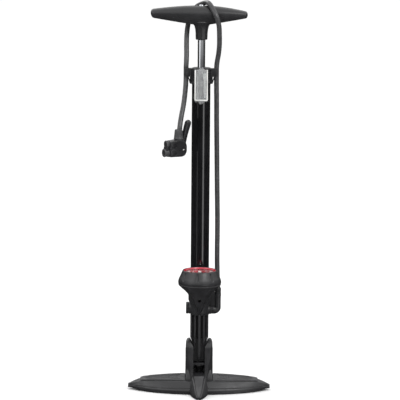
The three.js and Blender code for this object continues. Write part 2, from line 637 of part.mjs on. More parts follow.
// The wing's top surface under the tread at x: a slow fall to x = 90, then down to the tip.
function wingTop(x) {
  const slow = Math.min(1, Math.abs(x) / 90);
  const fast = Math.max(0, (Math.abs(x) - 90) / (WING_HALF - 90)) ** 1.4;
  return THREE.MathUtils.lerp(WING_HEIGHT - 3 * slow ** 2, 8.4, fast);
}

function wingBottom(x) {
  return 3.2 * THREE.MathUtils.smoothstep(Math.abs(x), 78, 114);
}

function wingSection(x) {
  const front = -WING_FRONT * wingPlan(x);
  const back = WING_BACK * wingPlan(x);
  const top = wingTop(x);
  const low = wingBottom(x);
  const at = (share) => low + (top - low) * share;
  return [
    [x, front, low], [x, front, at(0.3)], [x, front * 0.93, at(0.5)], [x, front * 0.89, at(0.56)],
    [x, front * 0.74, at(0.97)], [x, front * 0.7, top], [x, back * 0.82, top], [x, back * 0.9, at(0.94)],
    [x, back, at(0.5)], [x, back, low],
  ];
}

// One of the hollows that open downwards under a wing, from x0 to x1.
function wingHollow(x0, x1) {
  return loft(steps(4, (t) => {
    const x = x0 + (x1 - x0) * t;
    const front = -WING_FRONT * wingPlan(x);
    const back = WING_BACK * wingPlan(x) - 3;
    const top = wingTop(x) - 2.8;
    return [
      [x, front + 3, -1], [x, front + 3, 5], [x, front * 0.72 + 2, top - 1], [x, front * 0.68 + 2, top],
      [x, back * 0.78, top], [x, back, top * 0.5], [x, back, -1],
    ];
  }));
}

function makeToe() {
  return loft([
    [-14, 22.3, 11, 30.8], [-21, 21.9, 10.1, 28.4], [-41, 15.2, 7.8, 20.2], [-55, 11.6, 6.2, 14.6],
    [-63, 9.2, 5.2, 10.8], [-70, 6.2, 3.9, 7], [TOE_FRONT, 3.2, 2.2, 3.6],
  ].map(([y, low, high, top]) => [
    [-low, y, 0], [low, y, 0], [low, y, top * 0.25], [high, y, top], [-high, y, top], [-low, y, top * 0.25],
  ]));
}

function makeFork() {
  const side = [
    [-24, 0], [-24, 20], [-19.4, 38], [-15, 74], [-12, 81], [-6, FORK_TOP], [6, FORK_TOP], [13, 81],
    [16, 74], [21, 34], [30, 24], [30, 0],
  ];
  const front = [
    [-FORK_HALF - 0.6, 0], [-FORK_HALF - 0.6, 30], [-FORK_HALF + 0.3, 76], [-FORK_HALF + 1.6, 82.2],
    [-18, FORK_TOP], [-15.6, FORK_TOP - 0.6], [-9, 76],
  ];
  const mirrored = front.map(([x, z]) => [-x, z]).reverse();
  return plateYZ(side, -30, 30).intersect(plateXZ([...front, ...mirrored], -60, 60));
}

function makeBase() {
  const stations = steps(24, (t) => WING_HALF * Math.sin((t - 0.5) * Math.PI));
  const wings = loft(stations.map(wingSection));
  const hollows = [-1, 1].flatMap((side) => [
    wingHollow(side * 26, side * 52), wingHollow(side * 54.6, side * 82),
  ]);
  const columnSlot = plateXZ(
    [
      [-SLOT_HALF, LEDGE_TOP], [SLOT_HALF, LEDGE_TOP], [SLOT_HALF, 75], [COLUMN_HALF + 0.6, FORK_TOP],
      [COLUMN_HALF + 0.6, FORK_TOP + 3], [-COLUMN_HALF - 0.6, FORK_TOP + 3], [-COLUMN_HALF - 0.6, FORK_TOP],
      [-SLOT_HALF, 75],
    ],
    -30,
    9.4,
  );
  const backRelief = box(-2.4, 2.4, 0, 13.6, 49, FORK_TOP + 3);
  const ribRelief = box(-SLOT_HALF, SLOT_HALF, 0, 12.6, 75.2, FORK_TOP + 3);
  const recess = box(-SLOT_HALF, SLOT_HALF, -30, -2, SLOT_FLOOR, LEDGE_BOTTOM);
  const boltWay = rod(6.4, SLOT_FLOOR, LEDGE_BOTTOM, 20);
  const feet = [-1, 1].map((side) => box(side * FOOT_X - 3.4, side * FOOT_X + 3.4, -13.4, 10.4, -1, 5));
  return cut(
    join(wings, makeToe(), makeFork()),
    ...hollows,
    ...feet,
    columnSlot,
    backRelief,
    ribRelief,
    recess,
    boltWay,
    rod(3, LEDGE_BOTTOM - 1, LEDGE_TOP + 1, 16),
    rodX(3.4, -30, 30, 0, FORK_BOLT_Z, 16),
    rodX(6.4, -30, -FORK_HALF + 3.4, 0, FORK_BOLT_Z, 6),
    rodX(6.4, FORK_HALF - 3.4, 30, 0, FORK_BOLT_Z),
  );
}

// A tread pad, following the wing's top. side is -1 or 1.
function makeTread(side) {
  return loft(steps(10, (t) => {
    const x = side * (23.4 + 73.6 * t);
    const plan = wingPlan(x);
    const top = wingTop(x);
    return [
      [x, -WING_FRONT * 0.66 * plan, top + GAP], [x, -WING_FRONT * 0.64 * plan, top + GAP + TREAD_THICK],
      [x, WING_BACK * 0.76 * plan, top + GAP + TREAD_THICK], [x, WING_BACK * 0.78 * plan, top + GAP],
    ];
  }));
}

function addBase() {
  place(pump, "base", makeBase(), PLASTIC);
  place(pump, "tread_left", makeTread(-1), RUBBER);
  place(pump, "tread_right", makeTread(1), RUBBER);
  for (const [name, side] of [["foot_left", -1], ["foot_right", 1]]) {
    const pad = box(side * FOOT_X - 3, side * FOOT_X + 3, -13, 10, 0, 4.6);
    place(pump, name, pad, RUBBER);
  }
  const bolt = join(
    rodX(6, -FORK_HALF, -FORK_HALF + 3.1, 0, FORK_BOLT_Z, 6),
    rodX(3, -FORK_HALF + 1, FORK_HALF - 0.6, 0, FORK_BOLT_Z, 16),
  );
  place(pump, "fork_bolt", bolt, STEEL);
  const blank = rodX(5.8, FORK_HALF - 3.1, FORK_HALF, 0, FORK_BOLT_Z, 6);
  place(pump, "fork_nut", cut(blank, rodX(3.3, 0, 30, 0, FORK_BOLT_Z, 16)), STEEL);
  const headTop = LEDGE_BOTTOM - GAP;
  place(pump, "column_bolt", join(rod(5.8, headTop - 4.5, headTop, 6), rod(2.5, 42, 58, 12)), STEEL);
}

addPlunger();
addBarrel();
place(pump, "lower_body", makeLowerBody(), PLASTIC);
addCheckValve();
addElbow();
addGauge();
addHose();
addHead();
addBase();

export default pump;
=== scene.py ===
"""A floor bike pump, dressed over its CAD frame. Shapes are in millimetres, and piece() scales them."""

import math

import bmesh
import bpy
from mathutils import Matrix, Quaternion, Vector


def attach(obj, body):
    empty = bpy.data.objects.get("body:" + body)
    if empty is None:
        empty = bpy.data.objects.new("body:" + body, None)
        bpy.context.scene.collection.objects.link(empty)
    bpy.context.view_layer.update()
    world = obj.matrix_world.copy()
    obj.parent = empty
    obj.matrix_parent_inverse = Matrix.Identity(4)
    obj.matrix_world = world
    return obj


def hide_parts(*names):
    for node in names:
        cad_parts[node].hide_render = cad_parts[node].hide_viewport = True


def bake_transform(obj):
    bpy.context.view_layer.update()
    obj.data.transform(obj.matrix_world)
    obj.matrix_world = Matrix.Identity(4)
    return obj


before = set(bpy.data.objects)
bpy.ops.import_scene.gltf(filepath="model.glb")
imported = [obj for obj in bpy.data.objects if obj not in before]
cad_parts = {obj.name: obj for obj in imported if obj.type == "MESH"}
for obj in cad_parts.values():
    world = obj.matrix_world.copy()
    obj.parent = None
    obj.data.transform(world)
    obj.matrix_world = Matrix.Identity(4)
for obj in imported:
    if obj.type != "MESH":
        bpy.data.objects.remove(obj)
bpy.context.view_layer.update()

MM = 0.001
ROOT = "root"
PLUNGER = "plunger"

# ---------------- forms: (vertices, faces) in millimetres


def loft(rings, closed=False):
    """A skin over rings of points, capped at both ends, or closed into a loop."""
    count = len(rings[0])
    verts = [tuple(point) for ring in rings for point in ring]
    faces = []
    for i in range(len(rings) if closed else len(rings) - 1):
        a, b = i * count, (i + 1) % len(rings) * count
        faces += [(a + j, a + (j + 1) % count, b + (j + 1) % count, b + j) for j in range(count)]
    if not closed:
        faces += [tuple(range(count)), tuple(range(len(verts) - count, len(verts)))]
    return verts, faces


def lathe(profile, sides=64, x=0, y=0, closed=False, shape=None):
    """A solid of revolution about the upright line at (x, y). shape(angle, z) scales the radius."""
    rings = []
    for radius, z in profile:
        ring = []
        for j in range(sides):
            angle = 2 * math.pi * j / sides
            reach = radius * (shape(angle, z) if shape else 1)
            ring.append((x + reach * math.cos(angle), y + reach * math.sin(angle), z))
        rings.append(ring)
    return loft(rings, closed)


def rod(radius, low, high, x=0, y=0, edge=0.5, sides=48, hole=0):
    """A round bar with softened ends, with a hole through it where hole isn't 0."""
    profile = [(radius - edge, low), (radius - edge * 0.3, low + edge * 0.3), (radius, low + edge)]
    profile += [(r, low + high - z) for r, z in reversed(profile)]
    if hole:
        profile += [(hole, high), (hole, low)]
    return lathe(profile, sides, x, y, closed=bool(hole))


def placed(form, *matrices):
    """The form after each matrix in turn."""
    verts = [Vector(v) for v in form[0]]
    for matrix in matrices:
        verts = [matrix @ v for v in verts]
    return [tuple(v) for v in verts], form[1]


def shift(x, y, z):
    return Matrix.Translation((x, y, z))


def turn(degrees, axis):
    return Matrix.Rotation(math.radians(degrees), 4, axis)


def along_x(form, y=0, z=0):
    return placed(form, turn(90, "Y"), shift(0, y, z))


def along_y(form, x=0, z=0):
    return placed(form, turn(-90, "X"), shift(x, 0, z))


def mirrored(form):
    """The form reflected from one side of the pump to the other."""
    return placed(form, Matrix.Diagonal((-1, 1, 1, 1)))


def joined(*forms):
    verts, faces = [], []
    for form in forms:
        start = len(verts)
        verts += form[0]
        faces += [tuple(start + i for i in face) for face in form[1]]
    return verts, faces


def rounded(points, radius, arc=4):
    """An outline with each corner replaced by a short arc."""
    out = []
    for i, corner in enumerate(points):
        here, before, after = Vector(corner), Vector(points[i - 1]), Vector(points[(i + 1) % len(points)])
        start = here + (before - here).normalized() * min(radius, (before - here).length * 0.45)
        end = here + (after - here).normalized() * min(radius, (after - here).length * 0.45)
        for k in range(arc + 1):
            t = k / arc
            out.append(tuple(start * (1 - t) ** 2 + here * 2 * t * (1 - t) + end * t * t))
    return out


def slab(points, low, high, across="y"):
    """An outline extruded from low to high: in X and Z across y, in Y and Z across x, in X and Y across z."""
    order = {"y": lambda a, b, c: (a, c, b), "x": lambda a, b, c: (c, a, b), "z": lambda a, b, c: (a, b, c)}
    return loft([[order[across](a, b, level) for a, b in points] for level in (low, high)])


def block(x0, x1, y0, y1, z0, z1):
    return slab([(x0, z0), (x1, z0), (x1, z1), (x0, z1)], y0, y1)


def hexagon(across, low, high):
    """A hexagonal bar with turned corners, upright about the origin."""
    radius = across / math.sqrt(3)
    angles = [math.radians(60 * k) for k in range(6)]
    flat = [(radius * math.cos(angle), radius * math.sin(angle)) for angle in angles]
    return slab(rounded(flat, 0.6, 2), low, high, "z")


def curve_through(points, gap=2.0):
    """Points about gap apart on a smooth curve through the given ones."""
    pts = [Vector(p) for p in points]
    pts = [pts[0] * 2 - pts[1]] + pts + [pts[-1] * 2 - pts[-2]]
    out = []
    for a, b, c, d in zip(pts, pts[1:], pts[2:], pts[3:]):
        t1 = (b - a).length ** 0.5
        t2 = t1 + (c - b).length ** 0.5
        t3 = t2 + (d - c).length ** 0.5
        count = max(1, round((c - b).length / gap))
        for k in range(count):
            t = t1 + (t2 - t1) * k / count
            ab, bc, cd = a.lerp(b, t / t1), b.lerp(c, (t - t1) / (t2 - t1)), c.lerp(d, (t - t2) / (t3 - t2))
            out.append(ab.lerp(bc, t / t2).lerp(bc.lerp(cd, (t - t1) / (t3 - t1)), (t - t1) / (t2 - t1)))
    return out + [pts[-2]]


def sweep(path, radius, sides=24, section=None):
    """A tube along a path. section(angle) scales its radius, and radius may be a list, one for each point."""
    radii = radius if isinstance(radius, list) else [radius] * len(path)
    normal = Vector((0, 1, 0))
    rings = []
    for i, point in enumerate(path):
        ahead = (path[min(i + 1, len(path) - 1)] - path[max(i - 1, 0)]).normalized()
        normal = (normal - ahead * normal.dot(ahead)).normalized()
        side = ahead.cross(normal)
        ring = []
        for j in range(sides):
            angle = 2 * math.pi * j / sides
            reach = radii[i] * (section(angle) if section else 1)
            ring.append(tuple(point + normal * reach * math.cos(angle) + side * reach * math.sin(angle)))
        rings.append(ring)
    return loft(rings)


def in_between(rows, count=0, gap=0):
    """The rows with others put between them on straight lines: count to a step, or about gap apart."""
    out = []
    for start, end in zip(rows, rows[1:]):
        steps = count or max(1, round((end[0] - start[0]) / gap))
        out += [tuple(u + (v - u) * k / steps for u, v in zip(start, end)) for k in range(steps)]
    return out + [rows[-1]]


def in_bmesh(form):
    bm = bmesh.new()
    verts = [bm.verts.new(v) for v in form[0]]
    for face in form[1]:
        bm.faces.new([verts[i] for i in face])
    bmesh.ops.recalc_face_normals(bm, faces=bm.faces)
    return bm


def out_of(bm):
    bm.verts.index_update()
    form = [v.co[:] for v in bm.verts], [tuple(v.index for v in f.verts) for f in bm.faces]
    bm.free()
    return form


def bevelled(form, width=0.6, segments=2, angle=32):
    """The form with each edge sharper than angle rounded over."""
    bm = in_bmesh(form)
    sharp = [e for e in bm.edges if len(e.link_faces) == 2 and e.calc_face_angle(0) > math.radians(angle)]
    bmesh.ops.bevel(
        bm, geom=sharp, offset=width, offset_type="OFFSET", segments=segments, profile=0.6, affect="EDGES",
        clamp_overlap=True,
    )
    return out_of(bm)


def scratch_object(form):
    bm = in_bmesh(form)
    mesh = bpy.data.meshes.new("scratch")
    bm.to_mesh(mesh)
    bm.free()
    obj = bpy.data.objects.new("scratch", mesh)
    bpy.context.scene.collection.objects.link(obj)
    return obj


def modified(form, *settings, tools=()):
    """The form cut by each of tools, then put through modifiers given as (type, {setting: value})."""
    obj = scratch_object(form)
    helpers = [scratch_object(tool) for tool in tools]
    for helper in helpers:
        modifier = obj.modifiers.new("cut", "BOOLEAN")
        modifier.operation, modifier.solver, modifier.object = "DIFFERENCE", "EXACT", helper
    for kind, values in settings:
        modifier = obj.modifiers.new(kind, kind)
        for key, value in values.items():
            setattr(modifier, key, value)
    bpy.context.view_layer.update()
    mesh = bpy.data.meshes.new_from_object(obj.evaluated_get(bpy.context.evaluated_depsgraph_get()))
    form = [v.co[:] for v in mesh.vertices], [tuple(p.vertices) for p in mesh.polygons]
    for item in [obj, *helpers]:
        data = item.data
        bpy.data.objects.remove(item)
        bpy.data.meshes.remove(data)
    bpy.data.meshes.remove(mesh)
    return form


def carved(form, *tools):
    return modified(form, tools=tools)


def fused(form, voxel, rounds=4):
    """Overlapping forms melted into one moulded skin."""
    return modified(
        form,
        ("REMESH", {"mode": "VOXEL", "voxel_size": voxel}),
        ("SMOOTH", {"factor": 0.5, "iterations": rounds}),
    )


def piece(name, form, finish, body=ROOT, stands_for=(), sharp=34):
    """Makes one Blender piece from a form, riding on a body and standing for CAD nodes."""
    bm = in_bmesh(placed(form, Matrix.Scale(MM, 4)))
    mesh = bpy.data.meshes.new(name)
    bm.to_mesh(mesh)
    bm.free()
    mesh.materials.append(FINISH[finish])
    obj = bpy.data.objects.new(name, mesh)
    bpy.context.scene.collection.objects.link(obj)
    mesh.shade_smooth()
    mesh.set_sharp_from_angle(angle=math.radians(sharp))
    if body:
        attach(obj, body)
    if stands_for:
        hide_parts(*([stands_for] if isinstance(stands_for, str) else stands_for))
    return obj


# ---------------- finishes


class Shader:
    """A material's node tree, with the few nodes that the finishes share."""

    def __init__(self, name, **sockets):
        self.material = bpy.data.materials.new(name)
        self.material.use_nodes = True
        self.tree = self.material.node_tree
        self.bsdf = self.tree.nodes["Principled BSDF"]
        for socket, value in sockets.items():
            self.bsdf.inputs[socket.replace("_", " ")].default_value = value
        self.place = self.node("ShaderNodeTexCoord").outputs["Object"]

    def node(self, kind, inputs=None, **settings):
        made = self.tree.nodes.new(kind)
        for key, value in settings.items():
            setattr(made, key, value)
        for key, value in (inputs or {}).items():
            if hasattr(value, "is_output"):
                self.tree.links.new(value, made.inputs[key])
            else:
                made.inputs[key].default_value = value
        return made

    def stretched(self, scale):
        return self.node("ShaderNodeMapping", {"Vector": self.place, "Scale": scale}).outputs["Vector"]

    def noise(self, scale, detail=3.0, vector=None, roughness=0.5):
        return self.node(
            "ShaderNodeTexNoise",
            {"Vector": vector or self.place, "Scale": scale, "Detail": detail, "Roughness": roughness},
        ).outputs["Fac"]

    def ramp(self, value, low, high, to_low, to_high):
        return self.node(
            "ShaderNodeMapRange",
            {"Value": value, "From Min": low, "From Max": high, "To Min": to_low, "To Max": to_high},
            interpolation_type="SMOOTHSTEP",
        ).outputs["Result"]

    def mixed(self, factor, first, second):
        made = self.node("ShaderNodeMix", data_type="RGBA")
        for index, value in ((0, factor), (6, first), (7, second)):
            if hasattr(value, "is_output"):
                self.tree.links.new(value, made.inputs[index])
            else:
                made.inputs[index].default_value = value
        return made.outputs[2]

    def colour(self, value):
        self.tree.links.new(value, self.bsdf.inputs["Base Color"])

    def blended(self, value, first, second, start=0.3, end=0.7):
        """The first colour below start, the second above end, and smoothly between."""
        return self.mixed(self.ramp(value, start, end, 0, 1), first, second)

    def roughness(self, value, low, high, start=0.3, end=0.7):
        self.tree.links.new(self.ramp(value, start, end, low, high), self.bsdf.inputs["Roughness"])

    def bump(self, height, strength, distance):
        made = self.node("ShaderNodeBump", {"Height": height, "Strength": strength, "Distance": distance})
        if self.bsdf.inputs["Normal"].links:
            self.tree.links.new(self.bsdf.inputs["Normal"].links[0].from_socket, made.inputs["Normal"])
        self.tree.links.new(made.outputs["Normal"], self.bsdf.inputs["Normal"])


def rgb(*values):
    return (*values, 1.0)


CLOUD = 35  # soft patches to the metre on moulded parts


def moulded(name, tone, rough, grain, depth, edge=0.6, **sockets):
    """Moulded plastic or rubber: cloudy tone, spark-eroded grain, scuffs, and edges worn a little lighter."""
    shader = Shader(name, **sockets)
    dark, light = rgb(*(c * 0.84 for c in tone)), rgb(*(c * 1.18 for c in tone))
    clouds = shader.blended(shader.noise(CLOUD, 5), dark, light)
    point = shader.node("ShaderNodeNewGeometry").outputs["Pointiness"]
    scuff = shader.noise(CLOUD * 9, 6, roughness=0.7)
    worn = shader.node(
        "ShaderNodeMath",
        {0: shader.ramp(point, 0.52, 0.62, 0, edge), 1: shader.ramp(scuff, 0.35, 0.65, 0.35, 1)},
        operation="MULTIPLY",
    ).outputs[0]
    shader.colour(shader.mixed(worn, clouds, rgb(*(min(1, c * 2.1 + 0.012) for c in tone))))
    shader.roughness(shader.noise(CLOUD * 3, 5), rough - 0.06, rough + 0.07)
    shader.bump(shader.noise(grain, 2), 0.35, depth)
    shader.bump(scuff, 0.12, depth)
    return shader.material


def plated(name, tone, rough, stretch):
    """Bare or plated metal, with fine drawn or turned lines and a little haze."""
    shader = Shader(name, Metallic=1.0)
    lines = shader.noise(900, 4, shader.stretched(stretch))
    low, high = rgb(*(c * 0.86 for c in tone)), rgb(*tone)
    shader.colour(shader.blended(shader.noise(45, 5), low, high, 0.25, 0.75))
    shader.roughness(lines, rough, rough + 0.08)
    shader.bump(lines, 0.08, 0.00005)
    return shader.material


def barrel_paint():
    """Gloss black paint with a little orange peel, under a thin clear coat."""
    shader = Shader("barrel paint", Coat_Weight=0.5, Coat_Roughness=0.04, Specular_IOR_Level=0.45)
    shader.colour(shader.blended(shader.noise(30, 4), rgb(0.0045, 0.0045, 0.005), rgb(0.008, 0.008, 0.009)))
    shader.roughness(shader.noise(90, 6, roughness=0.7), 0.12, 0.2, 0.35, 0.75)
    shader.bump(shader.noise(260, 2), 0.05, 0.0002)
    return shader.material


def clear_plastic():
    """The case's clear moulding, a little hazy."""
    shader = Shader("case plastic", IOR=1.3, Transmission_Weight=0.85, Coat_Weight=0.3)
    shader.colour(shader.blended(shader.noise(120, 5), rgb(0.78, 0.79, 0.8), rgb(0.9, 0.91, 0.91)))
    shader.roughness(shader.noise(200, 5), 0.04, 0.14)
    shader.bump(shader.noise(350, 3), 0.1, 0.0002)
    return shader.material


def lens_plastic():
    """The gauge's thin window, with a faint smear."""
    shader = Shader("lens", IOR=1.08, Transmission_Weight=1.0)
    smear = shader.noise(70, 5)
    shader.colour(shader.blended(smear, rgb(0.97, 0.95, 0.95), rgb(1, 1, 1)))
    shader.roughness(smear, 0.0, 0.06, 0.4, 0.8)
    return shader.material


def dial_print():
    """Red print with a darker track under the scale and a fine screen texture."""
    shader = Shader("dial print", Coat_Weight=0.6, Coat_Roughness=0.08)
    to_centre = (0, -GAUGE_Y * MM, 0)
    spot = shader.node("ShaderNodeVectorMath", {0: shader.place, 1: to_centre}, operation="ADD").outputs[0]
    flat = shader.node("ShaderNodeVectorMath", {0: spot, 1: (1, 1, 0)}, operation="MULTIPLY").outputs[0]
    radius = shader.node("ShaderNodeVectorMath", {0: flat}, operation="LENGTH").outputs["Value"]
    inside = shader.ramp(radius, 0.0135, 0.0142, 0, 1)
    beyond = shader.ramp(radius, 0.0243, 0.025, 1, 0)
    track = shader.node("ShaderNodeMath", {0: inside, 1: beyond}, operation="MULTIPLY").outputs[0]
    speck = shader.ramp(shader.noise(700, 3), 0.3, 0.7, 0, 1)
    red = shader.mixed(speck, rgb(0.62, 0.022, 0.05), rgb(0.72, 0.04, 0.07))
    deep = shader.mixed(speck, rgb(0.4, 0.008, 0.024), rgb(0.46, 0.014, 0.03))
    shader.colour(shader.mixed(track, red, deep))
    shader.roughness(shader.noise(90, 4), 0.25, 0.34)
    shader.bump(shader.noise(1500, 2), 0.05, 0.0001)
    return shader.material


def floor_finish():
    """A pale matt sweep."""
    shader = Shader("floor", Specular_IOR_Level=0.1)
    shader.colour(shader.blended(shader.noise(1.2, 3), rgb(0.92, 0.92, 0.92), rgb(0.93, 0.93, 0.93)))
    shader.roughness(shader.noise(3, 3), 0.9, 0.95)
    return shader.material


GAUGE_Y = -51
GREY = (0.019, 0.019, 0.0205)
FINISH = {
    "plastic": moulded("satin plastic", GREY, 0.36, 1500, 0.00012, Specular_IOR_Level=0.5),
    "collar": moulded("collar plastic", (0.055, 0.055, 0.057), 0.4, 1300, 0.00012),
    "head": moulded("head plastic", (0.013, 0.013, 0.0145), 0.3, 1400, 0.0001),
    "base": moulded("base plastic", (0.018, 0.018, 0.0195), 0.38, 1000, 0.0002),
    "toe": moulded("toe plastic", (0.06, 0.06, 0.062), 0.45, 1000, 0.0002),
    "tread": moulded("tread rubber", (0.03, 0.03, 0.032), 0.55, 1100, 0.00025),
    "rubber": moulded("soft rubber", (0.012, 0.012, 0.013), 0.6, 1200, 0.0002),
    "hose": moulded("hose rubber", (0.05, 0.05, 0.052), 0.27, 1800, 0.00004, edge=0.0),
    "white": moulded("white plastic", (0.8, 0.8, 0.78), 0.3, 900, 0.0001, edge=0.1),
    "paint": barrel_paint(),
    "chrome": plated("chrome", (0.5, 0.51, 0.53), 0.05, (1, 1, 0.03)),
    "steel": plated("zinc plate", (0.5, 0.5, 0.49), 0.24, (1, 1, 1)),
    "brass": plated("brass", (0.62, 0.45, 0.2), 0.22, (1, 1, 8)),
    "clear": clear_plastic(),
    "lens": lens_plastic(),
    "dial": dial_print(),
    "floor": floor_finish(),
}

# The CAD nodes that stay as they are, with their finishes.
KEPT = {
    "steel": "handle_stud piston_washer piston_screw ball_needle check_spring needle_shaft",
    "brass": "rod_plug rod_bush bourdon_tube gauge_movement",
    "rubber": "top_bumper piston_cup rod_wiper barrel_seal check_poppet foot_left foot_right",
    "plastic": "piston valve_seat",
    "white": "head_plunger",
}
for finish_name, node_names in KEPT.items():
    for node_name in node_names.split():
        for entry in bpy.data.objects[node_name].material_slots:
            entry.material = FINISH[finish_name]

# ---------------- camera

scene = bpy.context.scene
scene.view_settings.view_transform = "Standard"
AIM = Vector((0, 0, 0.3154))
ELEVATION, ROLL, DISTANCE = math.radians(8), math.radians(0.45), 3
camera_data = bpy.data.cameras.new("camera")
camera_data.lens = 165.6
camera_data.sensor_width = 36
camera_data.shift_x = -0.00075
camera_data.clip_end = 200
camera = bpy.data.objects.new("camera", camera_data)
scene.collection.objects.link(camera)
camera.location = AIM + Vector((0, -math.cos(ELEVATION), math.sin(ELEVATION))) * DISTANCE
look = (AIM - camera.location).to_track_quat("-Z", "Y") @ Quaternion((0, 0, 1), ROLL)
camera.rotation_mode = "QUATERNION"
camera.rotation_quaternion = look
scene.camera = camera

# ---------------- hose

CLIP_X, ELBOW_X, HOSE_RADIUS = 24.6, 30, 4
HOSE_ROUTE = [
    (ELBOW_X, 0, 149), (ELBOW_X, 0, 168), (29, 0, 190), (28.3, 0, 220), (28.3, 0, 280), (27.2, 0, 340),
    (26.2, 0, 400), (25.5, 0, 440), (25, 0, 485), (CLIP_X, 0, 508), (CLIP_X, 0, 520), (CLIP_X, 0, 532),
    (25.6, -0.8, 542), (27.6, -4.4, 554), (28.8, -11, 570), (28.6, -17, 585), (27.9, -21, 598),
    (26, -23, 607.5), (23, -22.7, 615.6), (19.4, -20, 622.8), (15.8, -15.6, 629), (12.4, -9.2, 633.6),
    (9.4, -1.8, 635.7), (5.6, 5.4, 635.4), (0.6, 10.4, 633.6), (-4.6, 14.2, 631.1), (-9.4, 17.8, 627.4),
    (-14, 20.8, 621.6), (-18, 22.2, 614.2), (-20.9, 22.6, 605.5), (-22.8, 21.2, 595), (-24, 17.5, 582),
    (-24.2, 12, 568), (-24, 6.4, 553), (-24.2, 2, 541), (-CLIP_X, 0, 532), (-CLIP_X, 0, 524),
    (-CLIP_X, 0, 515), (-24.9, -3, 504), (-26.2, -12.6, 488), (-28.4, -24.4, 471), (-31.4, -33, 455),
    (-33.4, -40.2, 441.2), (-34.6, -43.6, 427.2),
]
hose_path = curve_through(HOSE_ROUTE, 2.5)
hose_length = sum((b - a).length for a, b in zip(hose_path, hose_path[1:])) * MM
hose_form = sweep(hose_path, HOSE_RADIUS, 28)
hose = piece("hose", hose_form, "hose", body=None, stands_for=("hose_riser", "hose_loop", "hose_drop"))
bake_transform(hose)

# ---------------- handle and rod

HANDLE_TOP, HANDLE_LEFT, HANDLE_RIGHT = 631.2, 82.3, 74


def handle_section(x, points=56):
    """The wing's outline in Y and Z at x: flatter in front and behind than an ellipse, with a soft crown."""
    reach = abs(x) / (HANDLE_LEFT if x < 0 else HANDLE_RIGHT)
    top = HANDLE_TOP - (6.6 if x < 0 else 9.6) * reach**1.8
    bottom = HANDLE_TOP - 32.4 + 12.5 * reach**1.12
    end = math.sqrt(max(0.03, 1 - max(0, (reach - 0.955) / 0.045) ** 2))
    depth, height = (17 - 6.5 * reach**2) * end, (top - bottom) / 2 * end
    ring = []
    for k in range(points):
        c, s = math.cos(2 * math.pi * k / points), math.sin(2 * math.pi * k / points)
        power = 0.82 if s < 0 else 0.92
        y = depth * math.copysign(abs(c) ** power, c)
        ring.append((x, y, (top + bottom) / 2 + height * math.copysign(abs(s) ** 0.9, s)))
    return ring


def neck_flutes(angle, z):
    """Ten soft facets that fade into the wings."""
    fade = min(1, max(0, (600 - z) / 6))
    return 1 - 0.045 * fade * (0.5 + 0.5 * math.cos(10 * angle))


shares = [math.sin(t * math.pi / 80) for t in range(41)]
grip = [handle_section(-HANDLE_LEFT * share) for share in reversed(shares[1:])]
grip += [handle_section(HANDLE_RIGHT * share) for share in shares]
NECK = [(9.4, 576.2), (9.8, 577), (10.2, 588), (11, 594), (11.8, 598), (13.4, 601), (16, 604), (8, 612)]
neck = lathe(NECK, 80, shape=neck_flutes)
tip_left = placed(block(-30, 0, -30, 30, -30, 30), turn(-24, "Z"), turn(-30, "Y"), shift(-79.6, 0, 618))
tip_right = placed(block(0, 30, -30, 30, -30, 30), turn(20, "Z"), turn(14, "Y"), shift(72.9, 0, 613))
handle = fused(joined(loft(grip), neck), 0.75, 3)
handle = carved(handle, tip_left, tip_right, rod(6.5, 570, 596), rod(7, 626, 640, edge=0.1))
piece("handle_grip", bevelled(handle, 0.5, 2, 38), "plastic", PLUNGER, "handle", sharp=40)

acorn = joined(
    bevelled(hexagon(9.7, 626.3, 630), 0.3),
    lathe([(4.9, 629.8), (4.9, 630.3), (4.6, 631.2), (3.9, 632), (2.6, 632.6), (1, 632.8)], 40),
)
piece("acorn_nut", acorn, "chrome", PLUNGER, "handle_nut")
rod_tube = rod(6.1, 184.3, 611.7, edge=0.6, sides=72, hole=4.9)
piece("rod_tube", rod_tube, "chrome", PLUNGER, "piston_rod")

# ---------------- barrel, cap and accessory case

BARREL = [(14.6, 152.3), (15, 152.8), (15, 525.5), (14.6, 526), (13.8, 526), (13.8, 152.3)]
piece("barrel_tube", lathe(BARREL, 112, closed=True), "paint", stands_for="barrel")
rivet = lathe([(1, 0), (1, 0.3), (0.8, 0.7), (0.05, 0.9)], 20)
piece("barrel_rivet", placed(rivet, turn(90, "X"), shift(1.2, -14.9, 211.4)), "steel")


def cap_ribs(angle, z):
    """Narrow upright ribs round the cap's skirt."""
    return 1 + (0.022 if 509.5 < z < 526 and abs(math.sin(12 * angle)) > 0.93 else 0)


CAP = [
    (15.35, 505.5), (18.2, 505.5), (18.4, 506), (18.4, 507.6), (17.9, 508.3), (17.2, 508.9), (16.9, 509.6),
    *((16.7, 511 + 1.5 * k) for k in range(10)),
    (16.4, 526.6), (16.3, 528.6), (15.9, 530), (15.1, 531), (13.8, 531.6), (12, 531.8), (9.2, 531.9),
    (8.8, 531.5), (8.8, 526.4), (15.35, 526.4),
]
piece("cap_body", lathe(CAP, 144, closed=True, shape=cap_ribs), "head", stands_for="barrel_cap")


def clip_form():
    """One hose clip: an arm from the cap, a C-shaped grip open outwards, and the braced rib under it."""

    def arc(radius, start, end, steps):
        angles = [math.radians(start + (end - start) * k / steps) for k in range(steps + 1)]
        return [(CLIP_X + radius * math.cos(a), radius * math.sin(a)) for a in angles]

    outline = arc(6.3, 118, 62, 5) + arc(4.35, 56, 304, 22) + arc(6.3, 298, 242, 5)
    outline = [(15.6, 5.4), (18.5, 5.7)] + outline + [(18.5, -5.7), (15.6, -5.4)]
    grip = bevelled(slab(outline, 517.5, 530.4, "z"), 0.35)
    brace = bevelled(slab([(16, 506), (18.6, 506), (22.4, 518.4), (16, 518.4)], -2.6, 2.6), 0.4)
    lip = bevelled(block(16, 20, -6.2, 6.2, 516.8, 518.2), 0.3)
    window = slab([(18.5, 511.6), (20.2, 516.4), (18.5, 516.4)], -4, 4)
    return joined(grip, carved(brace, window), lip)


